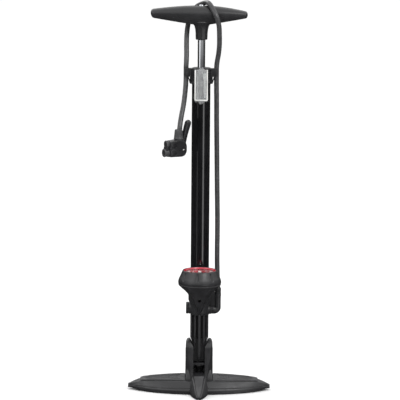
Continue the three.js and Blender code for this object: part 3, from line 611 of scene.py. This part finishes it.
piece("cap_clips", joined(clip_form(), mirrored(clip_form())), "plastic", stands_for="barrel_cap")
pad = bevelled(block(-5, 5, -18.6, -14, 512, 526), 0.6)
rail = bevelled(block(-7.6, 7.6, -18.7, -17.6, 513, 525), 0.3)
piece("case_rail", joined(pad, rail), "head", stands_for="barrel_cap")

CASE_SIDE = [
    (-3, 474.9), (3, 474.9), (4.4, 478.2), (9.6, 478.2), (11.4, 481), (11.5, 489.5), (10.7, 494),
    (10.7, 530.8), (6.2, 528.6), (3.2, 531.4), (-3.2, 531.4), (-6.2, 528.6), (-10.7, 530.8),
    (-10.7, 494), (-11.5, 489.5), (-11.4, 481), (-9.6, 478.2), (-4.4, 478.2),
]
CASE_FRONT, CASE_BACK = -28.4, -18.9
case = bevelled(slab(rounded(CASE_SIDE, 1.6), CASE_FRONT, CASE_BACK), 0.7, 3)
case = carved(case, block(-9.4, 9.4, -27.1, -20.2, 480, 533))
piece("spares_case", case, "clear", stands_for="accessory_case")
# Thin white strips along the case window's two upright edges and its lower edge: painted highlights that
# stand for the light the clear plastic's edges catch, not a real trim.
HIGHLIGHT_FRONT, HIGHLIGHT_BACK = CASE_FRONT - 0.35, CASE_FRONT + 0.2
highlight_strips = [
    bevelled(block(x - 0.75, x + 0.75, HIGHLIGHT_FRONT, HIGHLIGHT_BACK, 480.5, 529), 0.2) for x in (-9.7, 9.7)
]
low_highlight_strip = slab(rounded([(-9.4, 480), (9.4, 480), (9.4, 481.6), (-9.4, 481.6)], 0.3), HIGHLIGHT_FRONT, HIGHLIGHT_BACK)
piece("case_beads", joined(*highlight_strips, bevelled(low_highlight_strip, 0.15)), "white")
NOZZLE = [
    (0.6, 484), (1.2, 484.6), (1.5, 488),
    *((1.5 + 0.25 * (k % 2), 489 + k) for k in range(12)),
    (2, 513), (3, 514), (3.1, 514.6), (3.1, 521), (2.8, 521.6), (2.2, 523.3), (1, 523.5),
]
piece("bladder_nozzle", lathe(NOZZLE, 28, 5.9, -23.65), "white", stands_for="bladder_adapter")

# ---------------- lower body

CROSS_Z, ELBOW_Z, SCREW_Z = 136.6, 133.6, 158


def column_forms():
    """The ribbed column: a web with flanges, side ribs and a middle ridge that tapers to its foot."""
    web = [(-15, 128), (-15, 88), (-9, 75), (-9, 48), (9, 48), (9, 75), (15, 88), (15, 128)]
    yield bevelled(slab(rounded(web, 1), -3, 3), 0.5)
    yield bevelled(block(-9, 9, -6, 9, 48, 86), 0.8)
    for side in (-1, 1):
        yield bevelled(block(side * 13.4 - 1.6, side * 13.4 + 1.6, -7, 7, 90, 128), 0.7)
        rib = [(-12, 128), (-12, 84), (-9.5, 76), (9.5, 76), (12, 84), (12, 128)]
        yield bevelled(slab(rib, side * 7.2 - 1.3, side * 7.2 + 1.3, "x"), 0.6)
    ridge = [(-14.6, 128), (-14.6, 62), (-13.4, 58), (-8, 50), (9, 50), (13, 62), (13, 128)]
    yield bevelled(slab(ridge, -1.9, 1.9, "x"), 0.7)


SOCKET = [
    (13.4, 126), (14.4, 126.4), (15.2, 127.4), (15.8, 132), (16.4, 144), (17.2, 147.6), (18.2, 149.6),
    (18.4, 150.6), (18.4, 158), (17.8, 158.8), (17.8, 160), (18.4, 160.8), (18.4, 176.4), (18.9, 177),
    (18.9, 178.8), (18.3, 180), (15.6, 180), (15.4, 179.6), (15.4, 151), (4, 150.5),
]
socket = lathe(SOCKET, 96)
socket_ribs = [
    placed(bevelled(block(17.4, 19.2, -0.9, 0.9, 162, 176), 0.4), turn(angle, "Z"))
    for angle in range(0, 360, 30) if angle != 270
]
collars = [along_x(rod(9.8, -17.6, 0, edge=0.8), 0, CROSS_Z), along_x(rod(8, 0, 16.9, edge=0.8), 0, ELBOW_Z)]
collars += [along_x(rod(9, -18.4, -16), 0, CROSS_Z), along_x(rod(6.5, 15, 18), 0, ELBOW_Z)]
boss = along_y(rod(5.5, -19.4, -10, edge=0.4), 0, SCREW_Z)
casting = joined(socket, boss, *socket_ribs, *collars, *column_forms())
piece("lower_casting", casting, "plastic", stands_for="lower_body")

BEND = 5.4
elbow_path = [Vector((x, 0, ELBOW_Z)) for x in (17.2, 18, ELBOW_X - BEND)]
for k in range(1, 11):
    angle = math.radians(9 * k)
    x, z = ELBOW_X - BEND + BEND * math.sin(angle), ELBOW_Z + BEND - BEND * math.cos(angle)
    elbow_path.append(Vector((x, 0, z)))
elbow_path += [Vector((ELBOW_X, 0, z)) for z in (143, 150, 156.8, 157.4, 159.2, 159.7)]
radii = [6.2, 6.7, 6.7] + [6.7 - 0.17 * k for k in range(1, 11)] + [5, 5, 5, 5.5, 5.5, 5.1]
ELBOW_WEB = [
    (17.2, 134), (30, 134), (27.2, 159), (24.9, 159.6), (24.9, 171), (21, 177), (17, 177), (15.6, 150),
    (15.6, 143),
]
elbow_web = bevelled(slab(rounded(ELBOW_WEB, 0.9), -1.6, 1.6), 0.5)
elbow_ring = along_x(rod(7.3, 17.2, 19.4, edge=0.5), 0, ELBOW_Z)
elbow = carved(sweep(elbow_path, radii, 40), rod(4.35, 148, 162, ELBOW_X, edge=0.1))
piece("elbow_fitting", joined(elbow, elbow_web, elbow_ring), "plastic", stands_for="hose_elbow")


def grip_flutes(count, depth):
    """A shape for lathe() with count upright flutes sunk by a share of the radius."""
    return lambda angle, z: 1 - depth * max(0, math.cos(count * angle)) ** 3


FERRULE = [
    (4.35, 160), (4.9, 160), (5.2, 160.5), (5.2, 163), (5, 163.4), (5, 164), (5.2, 164.4), (5.2, 168.6),
    (4.9, 170), (4.6, 170.5), (4.35, 170.5),
]
ferrule = lathe(FERRULE, 60, ELBOW_X, closed=True, shape=grip_flutes(12, 0.03))
piece("hose_sleeve", ferrule, "rubber", stands_for="hose_ferrule")
PLUG = [(8.6, -22.2), (9.4, -21.8), (9.8, -21), (9.8, -18.6), (9.4, -17.9)]
plug = carved(lathe(PLUG, 96, shape=grip_flutes(24, 0.035)), hexagon(5.2, -24, -20.2))
piece("end_plug", along_x(plug, 0, CROSS_Z), "plastic", stands_for="cross_plug")

# ---------------- gauge

HOUSING = [
    (128.6, 1.4, 1.6, -18.6), (136.2, 4.8, 5.5, -23.5), (143, 7.2, 9.5, -28.5), (150, 9.9, 13, -32.8),
    (158, 13.2, 16.5, -37.2), (164, 16, 19.5, -40.6), (169.6, 19.4, 22.4, -43.6), (175.6, 24.4, 26, -46.8),
    (180.4, 29.4, 29.8, -49.8), (183, 32.4, 32.4, GAUGE_Y), (184.4, 33.8, 33.8, GAUGE_Y),
    (185.2, 34.3, 34.3, GAUGE_Y), (186, 34.4, 34.4, GAUGE_Y), (186.6, 34, 34, GAUGE_Y),
]


def on_gauge(profile, sides=96, **settings):
    """A solid of revolution about the gauge's own axis."""
    return lathe(profile, sides, 0, GAUGE_Y, **settings)


def housing_ring(level, width, depth, middle, points=96):
    """Round at the seam, and below it a flat front facet between two bevelled edges, round behind."""
    faceted = min(1, max(0, (183 - level) / 5))
    ring = []
    for k in range(points):
        c, s = math.cos(2 * math.pi * k / points), math.sin(2 * math.pi * k / points)
        x, y = c, s
        if s < 0:
            stretch = 1 / max(-s / 0.985, (abs(c) + 0.5 * -s) / 1.1, abs(c))
            x, y = c + (c * stretch - c) * faceted, s + (s * stretch - s) * faceted
        ring.append((width * x, middle + depth * y, level))
    return ring


housing = loft([housing_ring(*row) for row in in_between(HOUSING, gap=2.5)])
housing = carved(housing, along_y(rod(2.6, -75, -32.5, edge=0.3), 0, SCREW_Z))
piece("gauge_funnel", housing, "plastic", stands_for="gauge_housing", sharp=24)
screw = carved(
    along_y(rod(2.3, -37, -32.4, edge=0.4), 0, SCREW_Z), along_y(hexagon(2.2, -38, -35.4), 0, SCREW_Z)
)
piece("gauge_bolt", bevelled(screw, 0.1), "steel", stands_for="gauge_screw")

GRIPS, GRIP_TURN = 8, 0.656


def grip_hollows(angle, z):
    """Upright thumb grips sunk in the bezel's sloping face."""
    near = (angle * GRIPS / (2 * math.pi) + GRIP_TURN) % 1 - 0.5
    across = max(0, 1 - (abs(near) / 0.085) ** 4)
    along = min(1, max(0, (z - 193.6) / 1.2)) * min(1, max(0, (206.6 - z) / 1.6))
    return 1 - 0.045 * across * along


BEZEL = [
    (30, 186.9), (33.8, 186.9), (34.3, 187.3), (34.6, 188), (34.8, 189.1), (34.7, 190.6), (34.4, 192),
    (34, 193.4), (33.6, 194.8), (33.1, 196.2), (32.5, 197.3), (31.9, 198.6), (31.2, 200.2), (30.4, 201.9),
    (29.6, 203.7), (28.8, 205.5), (28.3, 206.6), (27.9, 207.6), (27.5, 208.4), (27, 208.8), (26.4, 208.8),
    (26, 208.5), (25.4, 207.2), (24.6, 205.6), (24.5, 204.9), (26.5, 203), (29.2, 200),
]
bezel = on_gauge(BEZEL, 288, closed=True, shape=grip_hollows)
piece("gauge_ring", bezel, "plastic", stands_for="gauge_bezel", sharp=28)
LENS = [(24.2, 205.8), (24.2, 206.5), (23.6, 206.9), (20, 207.4), (12, 207.7), (3, 207.8)]
piece("gauge_window", on_gauge(LENS), "lens", stands_for="gauge_lens")
DIAL = [
    (2, 203.2), (23, 203.2), (23, 200.2), (27.4, 200.2), (27.4, 201), (24.2, 201.6), (24.2, 203.8),
    (24, 204), (2, 204),
]
piece("gauge_face", on_gauge(DIAL, closed=True), "dial", stands_for="gauge_dial")
RIM = [
    (24, 204.1), (24.5, 204.1), (24.7, 205.7), (25.5, 207.2), (25.95, 208.3), (25.6, 208.35), (25.1, 207.4),
    (24.3, 205.9),
]
piece("gauge_rim", on_gauge(RIM, closed=True), "dial")


def dial_marks():
    """Scale marks round 270 degrees, long at every third."""
    for k in range(28):
        length, half = (4.4, 0.4) if k % 3 == 0 else (2.2, 0.24)
        mark = bevelled(block(22.6 - length, 22.6, -half, half, 203.9, 204.2), 0.08, 1)
        yield placed(mark, turn(-90 - 10 * k, "Z"), shift(0, GAUGE_Y, 0))


track = on_gauge([(13.9, 203.9), (14.4, 203.9), (14.4, 204.2), (13.9, 204.2)], 72, closed=True)
piece("dial_scale", joined(track, *dial_marks()), "white")
needle = slab([(-0.55, -19), (0.55, -19), (1.1, 0), (1.3, 6), (-1.3, 6), (-1.1, 0)], 204.4, 205.1, "z")
hub = lathe([(3, 204.3), (3, 204.9), (2.7, 205.3), (2, 205.5), (0.5, 205.5)], 40)
pointer = placed(joined(bevelled(needle, 0.15), hub), shift(0, GAUGE_Y, 0))
piece("gauge_pointer", pointer, "white", "pointer", "gauge_needle")

# ---------------- pump head

HEAD = (turn(28, "Z"), shift(-35.6, -44, 1.2))
HEAD_LEFT, HEAD_RIGHT, HEAD_LOW, HEAD_HIGH = -19, 11.6, 390.6, 417.6
UPPER_PORT, LOWER_PORT = 411, 397.4
PIN_X, PIN_Z = 5.2, 401.2


def head_piece(name, form, *args, **kwargs):
    """A piece drawn with the head square to the pump, then turned and moved to its place."""
    return piece(name, placed(form, *HEAD), *args, **kwargs)


def cuff_ribs(angle, z):
    """Fourteen fine flutes on the sleeve above the cuff's rim."""
    return 1 - (0.05 * max(0, math.cos(14 * angle)) ** 2 if 420 < z < 433 else 0)


CUFF = [
    (6.6, 418), (7.4, 418.2), (7.7, 418.8), (7.7, 420), (7.3, 420.8), (7, 424), (6.6, 429), (6.2, 432.6),
    (5.8, 433.7), (5, 434.2),
]
hose_hole = sweep([Vector(p) for p in ((1.1, -0.1, 424.6), (1.9, 0.5, 432), (3.8, 2.2, 440.5))], 4.6, 32)
cuff = carved(lathe(CUFF, 96, shape=cuff_ribs), hose_hole, block(6.7, 9, -9, 9, 410, 440))
head_piece("head_cuff", cuff, "collar", stands_for="head_collar")

body_outline = rounded([
    (HEAD_LEFT, HEAD_LOW), (3, HEAD_LOW), (8.2, HEAD_LOW + 1.8), (HEAD_RIGHT, HEAD_LOW + 8),
    (HEAD_RIGHT, HEAD_HIGH - 9), (9.4, HEAD_HIGH - 4), (5, HEAD_HIGH - 1), (1.6, HEAD_HIGH),
    (-7, HEAD_HIGH), (-8.4, HEAD_HIGH - 0.4), (HEAD_LEFT, HEAD_HIGH - 1.6),
], 2.6, 5)
shell = bevelled(slab(body_outline, -8.2, 8.2), 2.4, 4, 60)
shell = carved(
    shell, block(2.4, 20, -4.4, 4.4, 409.5, 420), block(-4.6, 20, -4.4, 4.4, 392.4, 409.6),
    *(along_x(rod(5.6, -24, -11.6, edge=0.2), 0, level) for level in (UPPER_PORT, LOWER_PORT)),
)
studs = [
    placed(rod(radius, 0, 0.9, edge=0.4), turn(-90 * side, "X"), shift(x, side * 7.7, z))
    for side in (-1, 1)
    for radius, x, z in ((3, PIN_X, PIN_Z), (5.2, -12.6, UPPER_PORT), (5.2, -12.6, LOWER_PORT + 0.2))
]
studs += [
    along_x(rod(radius, HEAD_LEFT, -14, edge=0.5, hole=5.6), 0, level)
    for radius, level in ((6.3, UPPER_PORT), (6.9, LOWER_PORT))
]
stem = rod(4.8, 415, 418, edge=0.3)
cheek_outline = [(-17, 415.4), (-21.6, 415), (-23, 411), (-25.6, 399), (-25.6, 394), (-17, 392)]
cheek = bevelled(slab(cheek_outline, -5.2, 5.2), 1.4, 3)
cheek = carved(cheek, *(along_x(rod(4.75, -30, -10), 0, level) for level in (UPPER_PORT, LOWER_PORT)))
head_piece("head_shell", joined(shell, stem, cheek, *studs), "head", stands_for="head_body")
PORTS = (("upper", UPPER_PORT, 6.2, 4.2, 3.6), ("lower", LOWER_PORT, 6.8, 7.4, 3.9))
for label, level, radius, reach, bore in PORTS:
    rim = [
        (4.7, -reach), (radius - 0.9, -reach), (radius - 0.25, -reach + 0.25), (radius, -reach + 0.9),
        (radius, -reach + 1.6), (radius - 0.5, -reach + 2), (radius - 0.5, -1), (radius, -0.6), (radius, 0),
        (4.7, 0),
    ]
    rim = lathe(rim, 72, closed=True, shape=grip_flutes(18, 0.02))
    rim = along_x(placed(rim, shift(0, 0, HEAD_LEFT - 0.3)), 0, level)
    head_piece(f"port_rim_{label}", rim, "collar", stands_for=f"port_collar_{label}")
    seal = [
        (bore + 0.9, -19), (5, -19), (5.3, -18.6), (5.3, -12), (bore, -12), (bore, -18.3),
        (bore + 0.3, -18.7),
    ]
    seal = along_x(lathe(seal, 48, closed=True), 0, level)
    head_piece(f"port_seal_{label}", seal, "rubber", stands_for=f"grommet_{label}")


def squared(angle):
    """Scales a round section into one with nearly flat sides and rounded corners."""
    return 1 / max(abs(math.cos(angle)) ** 5 + abs(math.sin(angle)) ** 5, 0.2) ** 0.2


LEVER = [(6.8, 0, 403), (8.4, 0, 412), (10.3, 0, 421), (12.6, 0, 430), (15, 0, 438), (16.7, 0, 443.4)]
lever_line = curve_through(LEVER, 1.5)
lever_line += [lever_line[-1] + Vector((0.2, 0, 0.98)) * beyond for beyond in (1.5, 3, 4.4, 5.4)]
count = len(lever_line)
widths = [3.7 + 0.6 * min(1, k / (count - 8)) ** 2 for k in range(count - 4)] + [4.2, 3.7, 2.7, 1.1]
blade = placed(sweep(lever_line, widths, 32, squared), Matrix.Diagonal((1, 1.06, 1, 1)))
lever_hub = along_y(rod(5.2, -4, 4, edge=0.6), PIN_X, PIN_Z)
cam = along_y(rod(5.6, -3.9, 3.9, edge=0.6), PIN_X, PIN_Z - 2.4)
thumb_ridge = bevelled(block(-0.4, 0.4, -2.6, 2.6, -0.4, 0.4), 0.2, 1)
thumb_ridges = [placed(thumb_ridge, shift(19.4 - k, 0, 440.5 - 3 * k)) for k in range(5)]
lever = carved(joined(lever_hub, cam), along_y(rod(1.9, -6, 6, edge=0.1), PIN_X, PIN_Z))
head_piece("lever_arm", joined(lever, blade, *thumb_ridges), "head", "lever", "head_lever")
rivet_head = lathe([(1.7, 0), (1.7, 0.4), (1.3, 0.8), (0.5, 1)], 28)
rivet_heads = [placed(rivet_head, turn(-90 * side, "X"), shift(PIN_X, side * 8.5, PIN_Z)) for side in (-1, 1)]
lever_rivet = joined(*rivet_heads, along_y(rod(1.6, -8.2, 8.2), PIN_X, PIN_Z))
head_piece("lever_rivet", lever_rivet, "steel", stands_for="lever_pin")

# ---------------- base

WING_HALF, WING_FRONT, WING_BACK, WING_HEIGHT = 117, 41, 31, 19.9
SLOT_HALF, SLOT_FLOOR, FORK_BOLT_Z = 9.35, 28.2, 62


def smooth(value, low, high):
    """Nothing up to low, one from high on, and an even curve between."""
    t = min(1, max(0, (value - low) / (high - low)))
    return t * t * (3 - 2 * t)


def wing_plan(x):
    """The wing's reach to the front and back at x, as a share of its reach in the middle."""
    return max(0.13, (1 - (x / (WING_HALF + 1)) ** 2) ** 0.75)


def wing_low(x):
    """The height of the wing's lower edge, which lifts towards the tip."""
    return 3.2 * smooth(abs(x), 78, 114)


def wing_top(x):
    """The height of the wing's upper face, falling faster near the tip."""
    slow, fast = min(1, abs(x) / 90), max(0, (abs(x) - 90) / (WING_HALF - 90)) ** 1.4
    crown = WING_HEIGHT - 3 * slow**2
    return crown + (8.4 - crown) * fast


def wing_section(x):
    """The wing's wall at x: stepped front face, flat top, and the hollow that opens downwards."""
    plan, top, low = wing_plan(x), wing_top(x), wing_low(x)
    front, back = -WING_FRONT * plan, WING_BACK * plan
    wall = 2.6 * smooth(plan, 0.13, 0.4)
    ceiling = low + (top - low - 2.8) * smooth(WING_HALF - abs(x), 14, 26)

    def at(share):
        return low + (top - low) * share

    outer = [
        (front, low), (front, at(0.3)), (front * 0.955, at(0.46)), (front * 0.9, at(0.5)),
        (front * 0.885, at(0.56)), (front * 0.74, at(0.96)), (front * 0.7, top), (back * 0.82, top),
        (back * 0.92, at(0.93)), (back, at(0.5)), (back, low),
    ]
    inner = [(back - wall, low), (back - wall, min(ceiling, at(0.45))), (back * 0.8 - wall / 2, ceiling)]
    inner += [(front * 0.7 + wall / 2, ceiling), (front + wall, min(ceiling, at(0.3))), (front + wall, low)]
    return [(x, y, z) for y, z in rounded(outer, 1.1, 3) + inner]


def crease_bead(side):
    """A fine bead along the step in the wing's front face."""
    spots = [side * (16 + 7 * k) for k in range(14)]
    path = [Vector((x, -0.94 * WING_FRONT * wing_plan(x), wing_low(x) + 0.47 * wing_top(x))) for x in spots]
    return sweep(path, [0.2] + [0.75] * 12 + [0.2], 10)


def cross_wall(x):
    """A stiffening wall across the hollow under the wing."""
    front, back, top = -WING_FRONT * wing_plan(x), WING_BACK * wing_plan(x), wing_top(x)
    outline = [
        (front + 2, 0.4 + smooth(abs(x), 84, 117) * 3), (back - 2, 0.4), (back - 2, top * 0.4),
        (back * 0.7, top - 1.5), (front * 0.6, top - 1.5), (front + 2, 5),
    ]
    return slab(outline, x - 1.2, x + 1.2, "x")


wing_spots = [WING_HALF * math.sin(math.pi * (k / 96 - 0.5)) for k in range(97)]
wings = loft([wing_section(x) for x in wing_spots])
braces = [crease_bead(side) for side in (-1, 1)] + [cross_wall(x) for x in (-83, -53.3, 53.3, 83)]

TOE = [
    (-14, 22.3, 11, 30.8), (-21, 21.9, 10.1, 28.4), (-41, 15.2, 7.8, 20.2), (-55, 11.6, 6.2, 14.6),
    (-63, 9.2, 5.2, 10.8), (-70, 6.2, 3.9, 7), (-73.4, 4.4, 3, 5), (-75, 3.2, 2.2, 3.6),
]


def toe_section(y, low, high, top):
    """The toe at y: half width low down and high up, and the height of its back."""
    shoulder, crown = high + 1.2, high - 0.6
    outline = [
        (-low, 0), (low, 0), (low, top * 0.25), (shoulder, top - 0.4), (crown, top), (-crown, top),
        (-shoulder, top - 0.4), (-low, top * 0.25),
    ]
    return [(x, y, z) for x, z in rounded(outline, 0.9, 2)]


def panel_section(row):
    """The raised panel along the toe's back, on the toe's own row."""
    y, _, high, top = row
    half = high - 1.6
    outline = [(-half, top - 1), (half, top - 1), (half, top + 0.25), (-half, top + 0.25)]
    return [(x, y, z) for x, z in rounded(outline, 0.4, 2)]


toe_rows = in_between(TOE, 5)
toe = loft([toe_section(*row) for row in toe_rows])
panel = loft([panel_section(row) for row in toe_rows[6:-5]])

EAR = [
    (10, -24.2, 29, SLOT_HALF, 22.9, 9), (20, -23.4, 27.6, SLOT_HALF, 22.8, 9.6),
    (34, -20.2, 21.8, SLOT_HALF, 22.6, 8.6), (48, -18.1, 19.4, SLOT_HALF, 22.5, 6.4),
    (62, -16.2, 17.6, SLOT_HALF, 22.25, 4), (73, -15, 16.2, SLOT_HALF, 22.1, 2),
    (77, -13.6, 14.8, 11.4, 21.9, 1.5), (80, -11.9, 13.1, 13.2, 21.2, 1.3),
    (82.8, -9.4, 10.4, 14.6, 20.3, 1.1), (84.8, -6.6, 7.2, 15.7, 19, 0.9), (85.6, -3.6, 4, 16.6, 17.9, 0.4),
]


def ear_section(z, front, back, inner, outer, chamfer):
    """The ear at z: a plain inner cheek, and an outer front corner cut back further down."""
    outline = [
        (inner, front), (outer - chamfer, front), (outer, front + chamfer * 0.9), (outer, back - 2),
        (outer - 1.6, back), (inner, back),
    ]
    return [(x, y, z) for x, y in rounded(outline, 0.35, 2)]


PEDESTAL = [
    (0.2, 22.9, -24, 30), (8, 22.9, -24, 30), (18, 22.9, -23.8, 28), (24, 22.4, -21.8, 26),
    (30, 21.8, -19.6, 22.6), (36, 20.6, -16.4, 20),
]


def pedestal_section(z, half, front, back):
    outline = [(-half, front), (half, front), (half, back), (-half, back)]
    return [(x, y, z) for x, y in rounded(outline, 2.5, 4)]


ear = loft([ear_section(*row) for row in in_between(EAR, 4)])
bolt_hole = along_x(rod(3.4, 0, 30, edge=0.1), 0, FORK_BOLT_Z)
ear = carved(ear, bolt_hole, along_x(rod(6.4, 19, 30, edge=0.1), 0, FORK_BOLT_Z))
hub_ring = along_x(rod(7.6, 21.6, 22.5, edge=0.3, hole=6.4), 0, FORK_BOLT_Z)
pedestal = loft([pedestal_section(*row) for row in PEDESTAL])
slot = block(-SLOT_HALF, SLOT_HALF, -30, -2, SLOT_FLOOR, 44)
pedestal = carved(pedestal, slot, rod(6.4, SLOT_FLOOR, 44, edge=0.1))
ledge = carved(bevelled(block(-9.6, 9.6, -14.6, 14, 43.4, 46.8), 0.6), rod(3, 40, 50, edge=0.1))
backplate = bevelled(block(-9.6, 9.6, 9.6, 15.6, 30, 74), 0.8)
recess_back = bevelled(block(-9.6, 9.6, 6.8, 10.4, 27.8, 44.4), 0.3)
fork = joined(pedestal, ear, mirrored(ear), hub_ring, mirrored(hub_ring), ledge, backplate, recess_back)
piece("base_wings", joined(wings, *braces), "base", stands_for="base", sharp=30)
piece("base_fork", fork, "base", stands_for="base")
piece("base_toe", toe, "base", stands_for="base")
piece("toe_panel", panel, "toe")


def tread_section(x):
    """The tread pad at x, following the wing's plan and top."""
    plan, top = wing_plan(x), wing_top(x)
    outline = [
        (-WING_FRONT * 0.665 * plan, top + 0.3), (-WING_FRONT * 0.645 * plan, top + 1.9),
        (WING_BACK * 0.76 * plan, top + 1.9), (WING_BACK * 0.785 * plan, top + 0.3),
    ]
    return [(x, y, z) for y, z in rounded(outline, 0.5, 3)]


def ridge_on_tread(spots):
    """A low bar along points in plan, riding on the tread pad."""
    path = curve_through([(x, y, wing_top(abs(x)) + 1.95) for x, y in spots], 3)
    return sweep(path, [0.3] + [0.75] * (len(path) - 2) + [0.3], 8)


def tread_forms():
    """The pad with nested chevrons near the pump and long ribs towards the tip."""
    yield loft([tread_section(23.4 + 73.6 * t / 20) for t in range(21)])
    for k in range(4):
        x = 29 + 4.2 * k
        front, back = -22 + k * 0.8, 19 - k * 0.6
        yield ridge_on_tread([(x, front), (x + 6, front * 0.45 - 0.6)])
        yield ridge_on_tread([(x + 6, front * 0.45 - 0.6), (x + 9, -1)])
        yield ridge_on_tread([(x + 9, -1), (x, back)])
    for k in range(5):
        share = -0.56 + 0.29 * k
        reach = WING_FRONT if share < 0 else WING_BACK
        ends = (49 - 3 * abs(k - 2), 91 - 3 * abs(k - 1.8))
        yield ridge_on_tread([(x, share * reach * wing_plan(x)) for x in (ends[0], 58, 66, 74, 82, ends[1])])


tread = joined(*tread_forms())
piece("tread_pad_right", tread, "tread", stands_for="tread_right")
piece("tread_pad_left", mirrored(tread), "tread", stands_for="tread_left")

bolt_head = placed(bevelled(hexagon(10.4, 0, 3), 0.3), turn(-90, "Y"), shift(-19.3, 0, FORK_BOLT_Z))
shank = along_x(rod(3, -21, 21.7, edge=0.5), 0, FORK_BOLT_Z)
piece("cross_bolt", joined(bolt_head, shank), "steel", stands_for="fork_bolt")
cross_nut = placed(bevelled(hexagon(10, 0, 3), 0.3), turn(90, "Y"), shift(19.2, 0, FORK_BOLT_Z))
cross_nut = carved(cross_nut, along_x(rod(3.3, 0, 30, edge=0.1), 0, FORK_BOLT_Z))
piece("cross_nut", cross_nut, "steel", stands_for="fork_nut")
foot_bolt = joined(bevelled(hexagon(10, 39.2, 43.7), 0.3), rod(2.5, 42, 58), rod(6, 43, 43.7, edge=0.2))
piece("foot_bolt", foot_bolt, "steel", stands_for="column_bolt")

# ---------------- floor and light

floor_mesh = bpy.data.meshes.new("floor")
corners = [(x * 90, y * 90, -0.0004) for x, y in ((-1, -1), (1, -1), (1, 1), (-1, 1))]
floor_mesh.from_pydata(corners, [], [(0, 1, 2, 3)])
floor_mesh.materials.append(FINISH["floor"])
floor = bpy.data.objects.new("floor", floor_mesh)
scene.collection.objects.link(floor)
floor.visible_glossy = False
floor.visible_shadow = False


def studio_world():
    """White overhead, dark below the horizon, with two upright strips of light that glossy faces pick up."""
    world = bpy.data.worlds.new("studio")
    world.use_nodes = True
    tree = world.node_tree
    background = tree.nodes["Background"]
    background.inputs["Color"].default_value = (1, 1, 1, 1)

    def node(kind, *inputs, **settings):
        made = tree.nodes.new(kind)
        for key, value in settings.items():
            setattr(made, key, value)
        for index, value in enumerate(inputs):
            if hasattr(value, "is_output"):
                tree.links.new(value, made.inputs[index])
            else:
                made.inputs[index].default_value = value
        return made.outputs[0]

    def maths(operation, *inputs):
        return node("ShaderNodeMath", *inputs, operation=operation)

    def band(value, centre, half, soft):
        """One within half of centre, falling smoothly to nothing over soft."""
        off = maths("ABSOLUTE", maths("SUBTRACT", value, centre))
        return node("ShaderNodeMapRange", off, half, half + soft, 1.0, 0.0, interpolation_type="SMOOTHSTEP")

    axes = tree.nodes.new("ShaderNodeSeparateXYZ")
    tree.links.new(tree.nodes.new("ShaderNodeTexCoord").outputs["Generated"], axes.inputs[0])
    x, y, z = axes.outputs
    azimuth = maths("ARCTAN2", x, maths("MULTIPLY", y, -1.0))
    above = node("ShaderNodeMapRange", z, 0.1, 0.45, 0.0, 1.18, interpolation_type="SMOOTHSTEP")
    right = maths("MULTIPLY", band(azimuth, 0.6, 0.1, 0.1), 2.4)
    left = maths("MULTIPLY", band(azimuth, -0.72, 0.05, 0.08), 0.5)
    strips = maths("MULTIPLY", maths("ADD", right, left), band(z, -0.2, 0.18, 0.05))
    total = maths("ADD", maths("ADD", strips, above), 0.03)
    tree.links.new(total, background.inputs["Strength"])
    scene.world = world


studio_world()

LIGHT_AIM = Vector((0, 0, 0.3))


def soft_light(name, place, size, power):
    """A square area light turned towards the middle of the pump."""
    data = bpy.data.lights.new(name, "AREA")
    data.size = size
    data.energy = power
    light = bpy.data.objects.new(name, data)
    light.location = place
    light.rotation_euler = (LIGHT_AIM - Vector(place)).to_track_quat("-Z", "Y").to_euler()
    scene.collection.objects.link(light)


soft_light("key", (1.6, -2.2, 2.4), 1.2, 26)
soft_light("fill", (-2.2, -1.8, 1.6), 1.4, 12)
soft_light("rim", (-1.2, 2.0, 2.2), 1.2, 12)
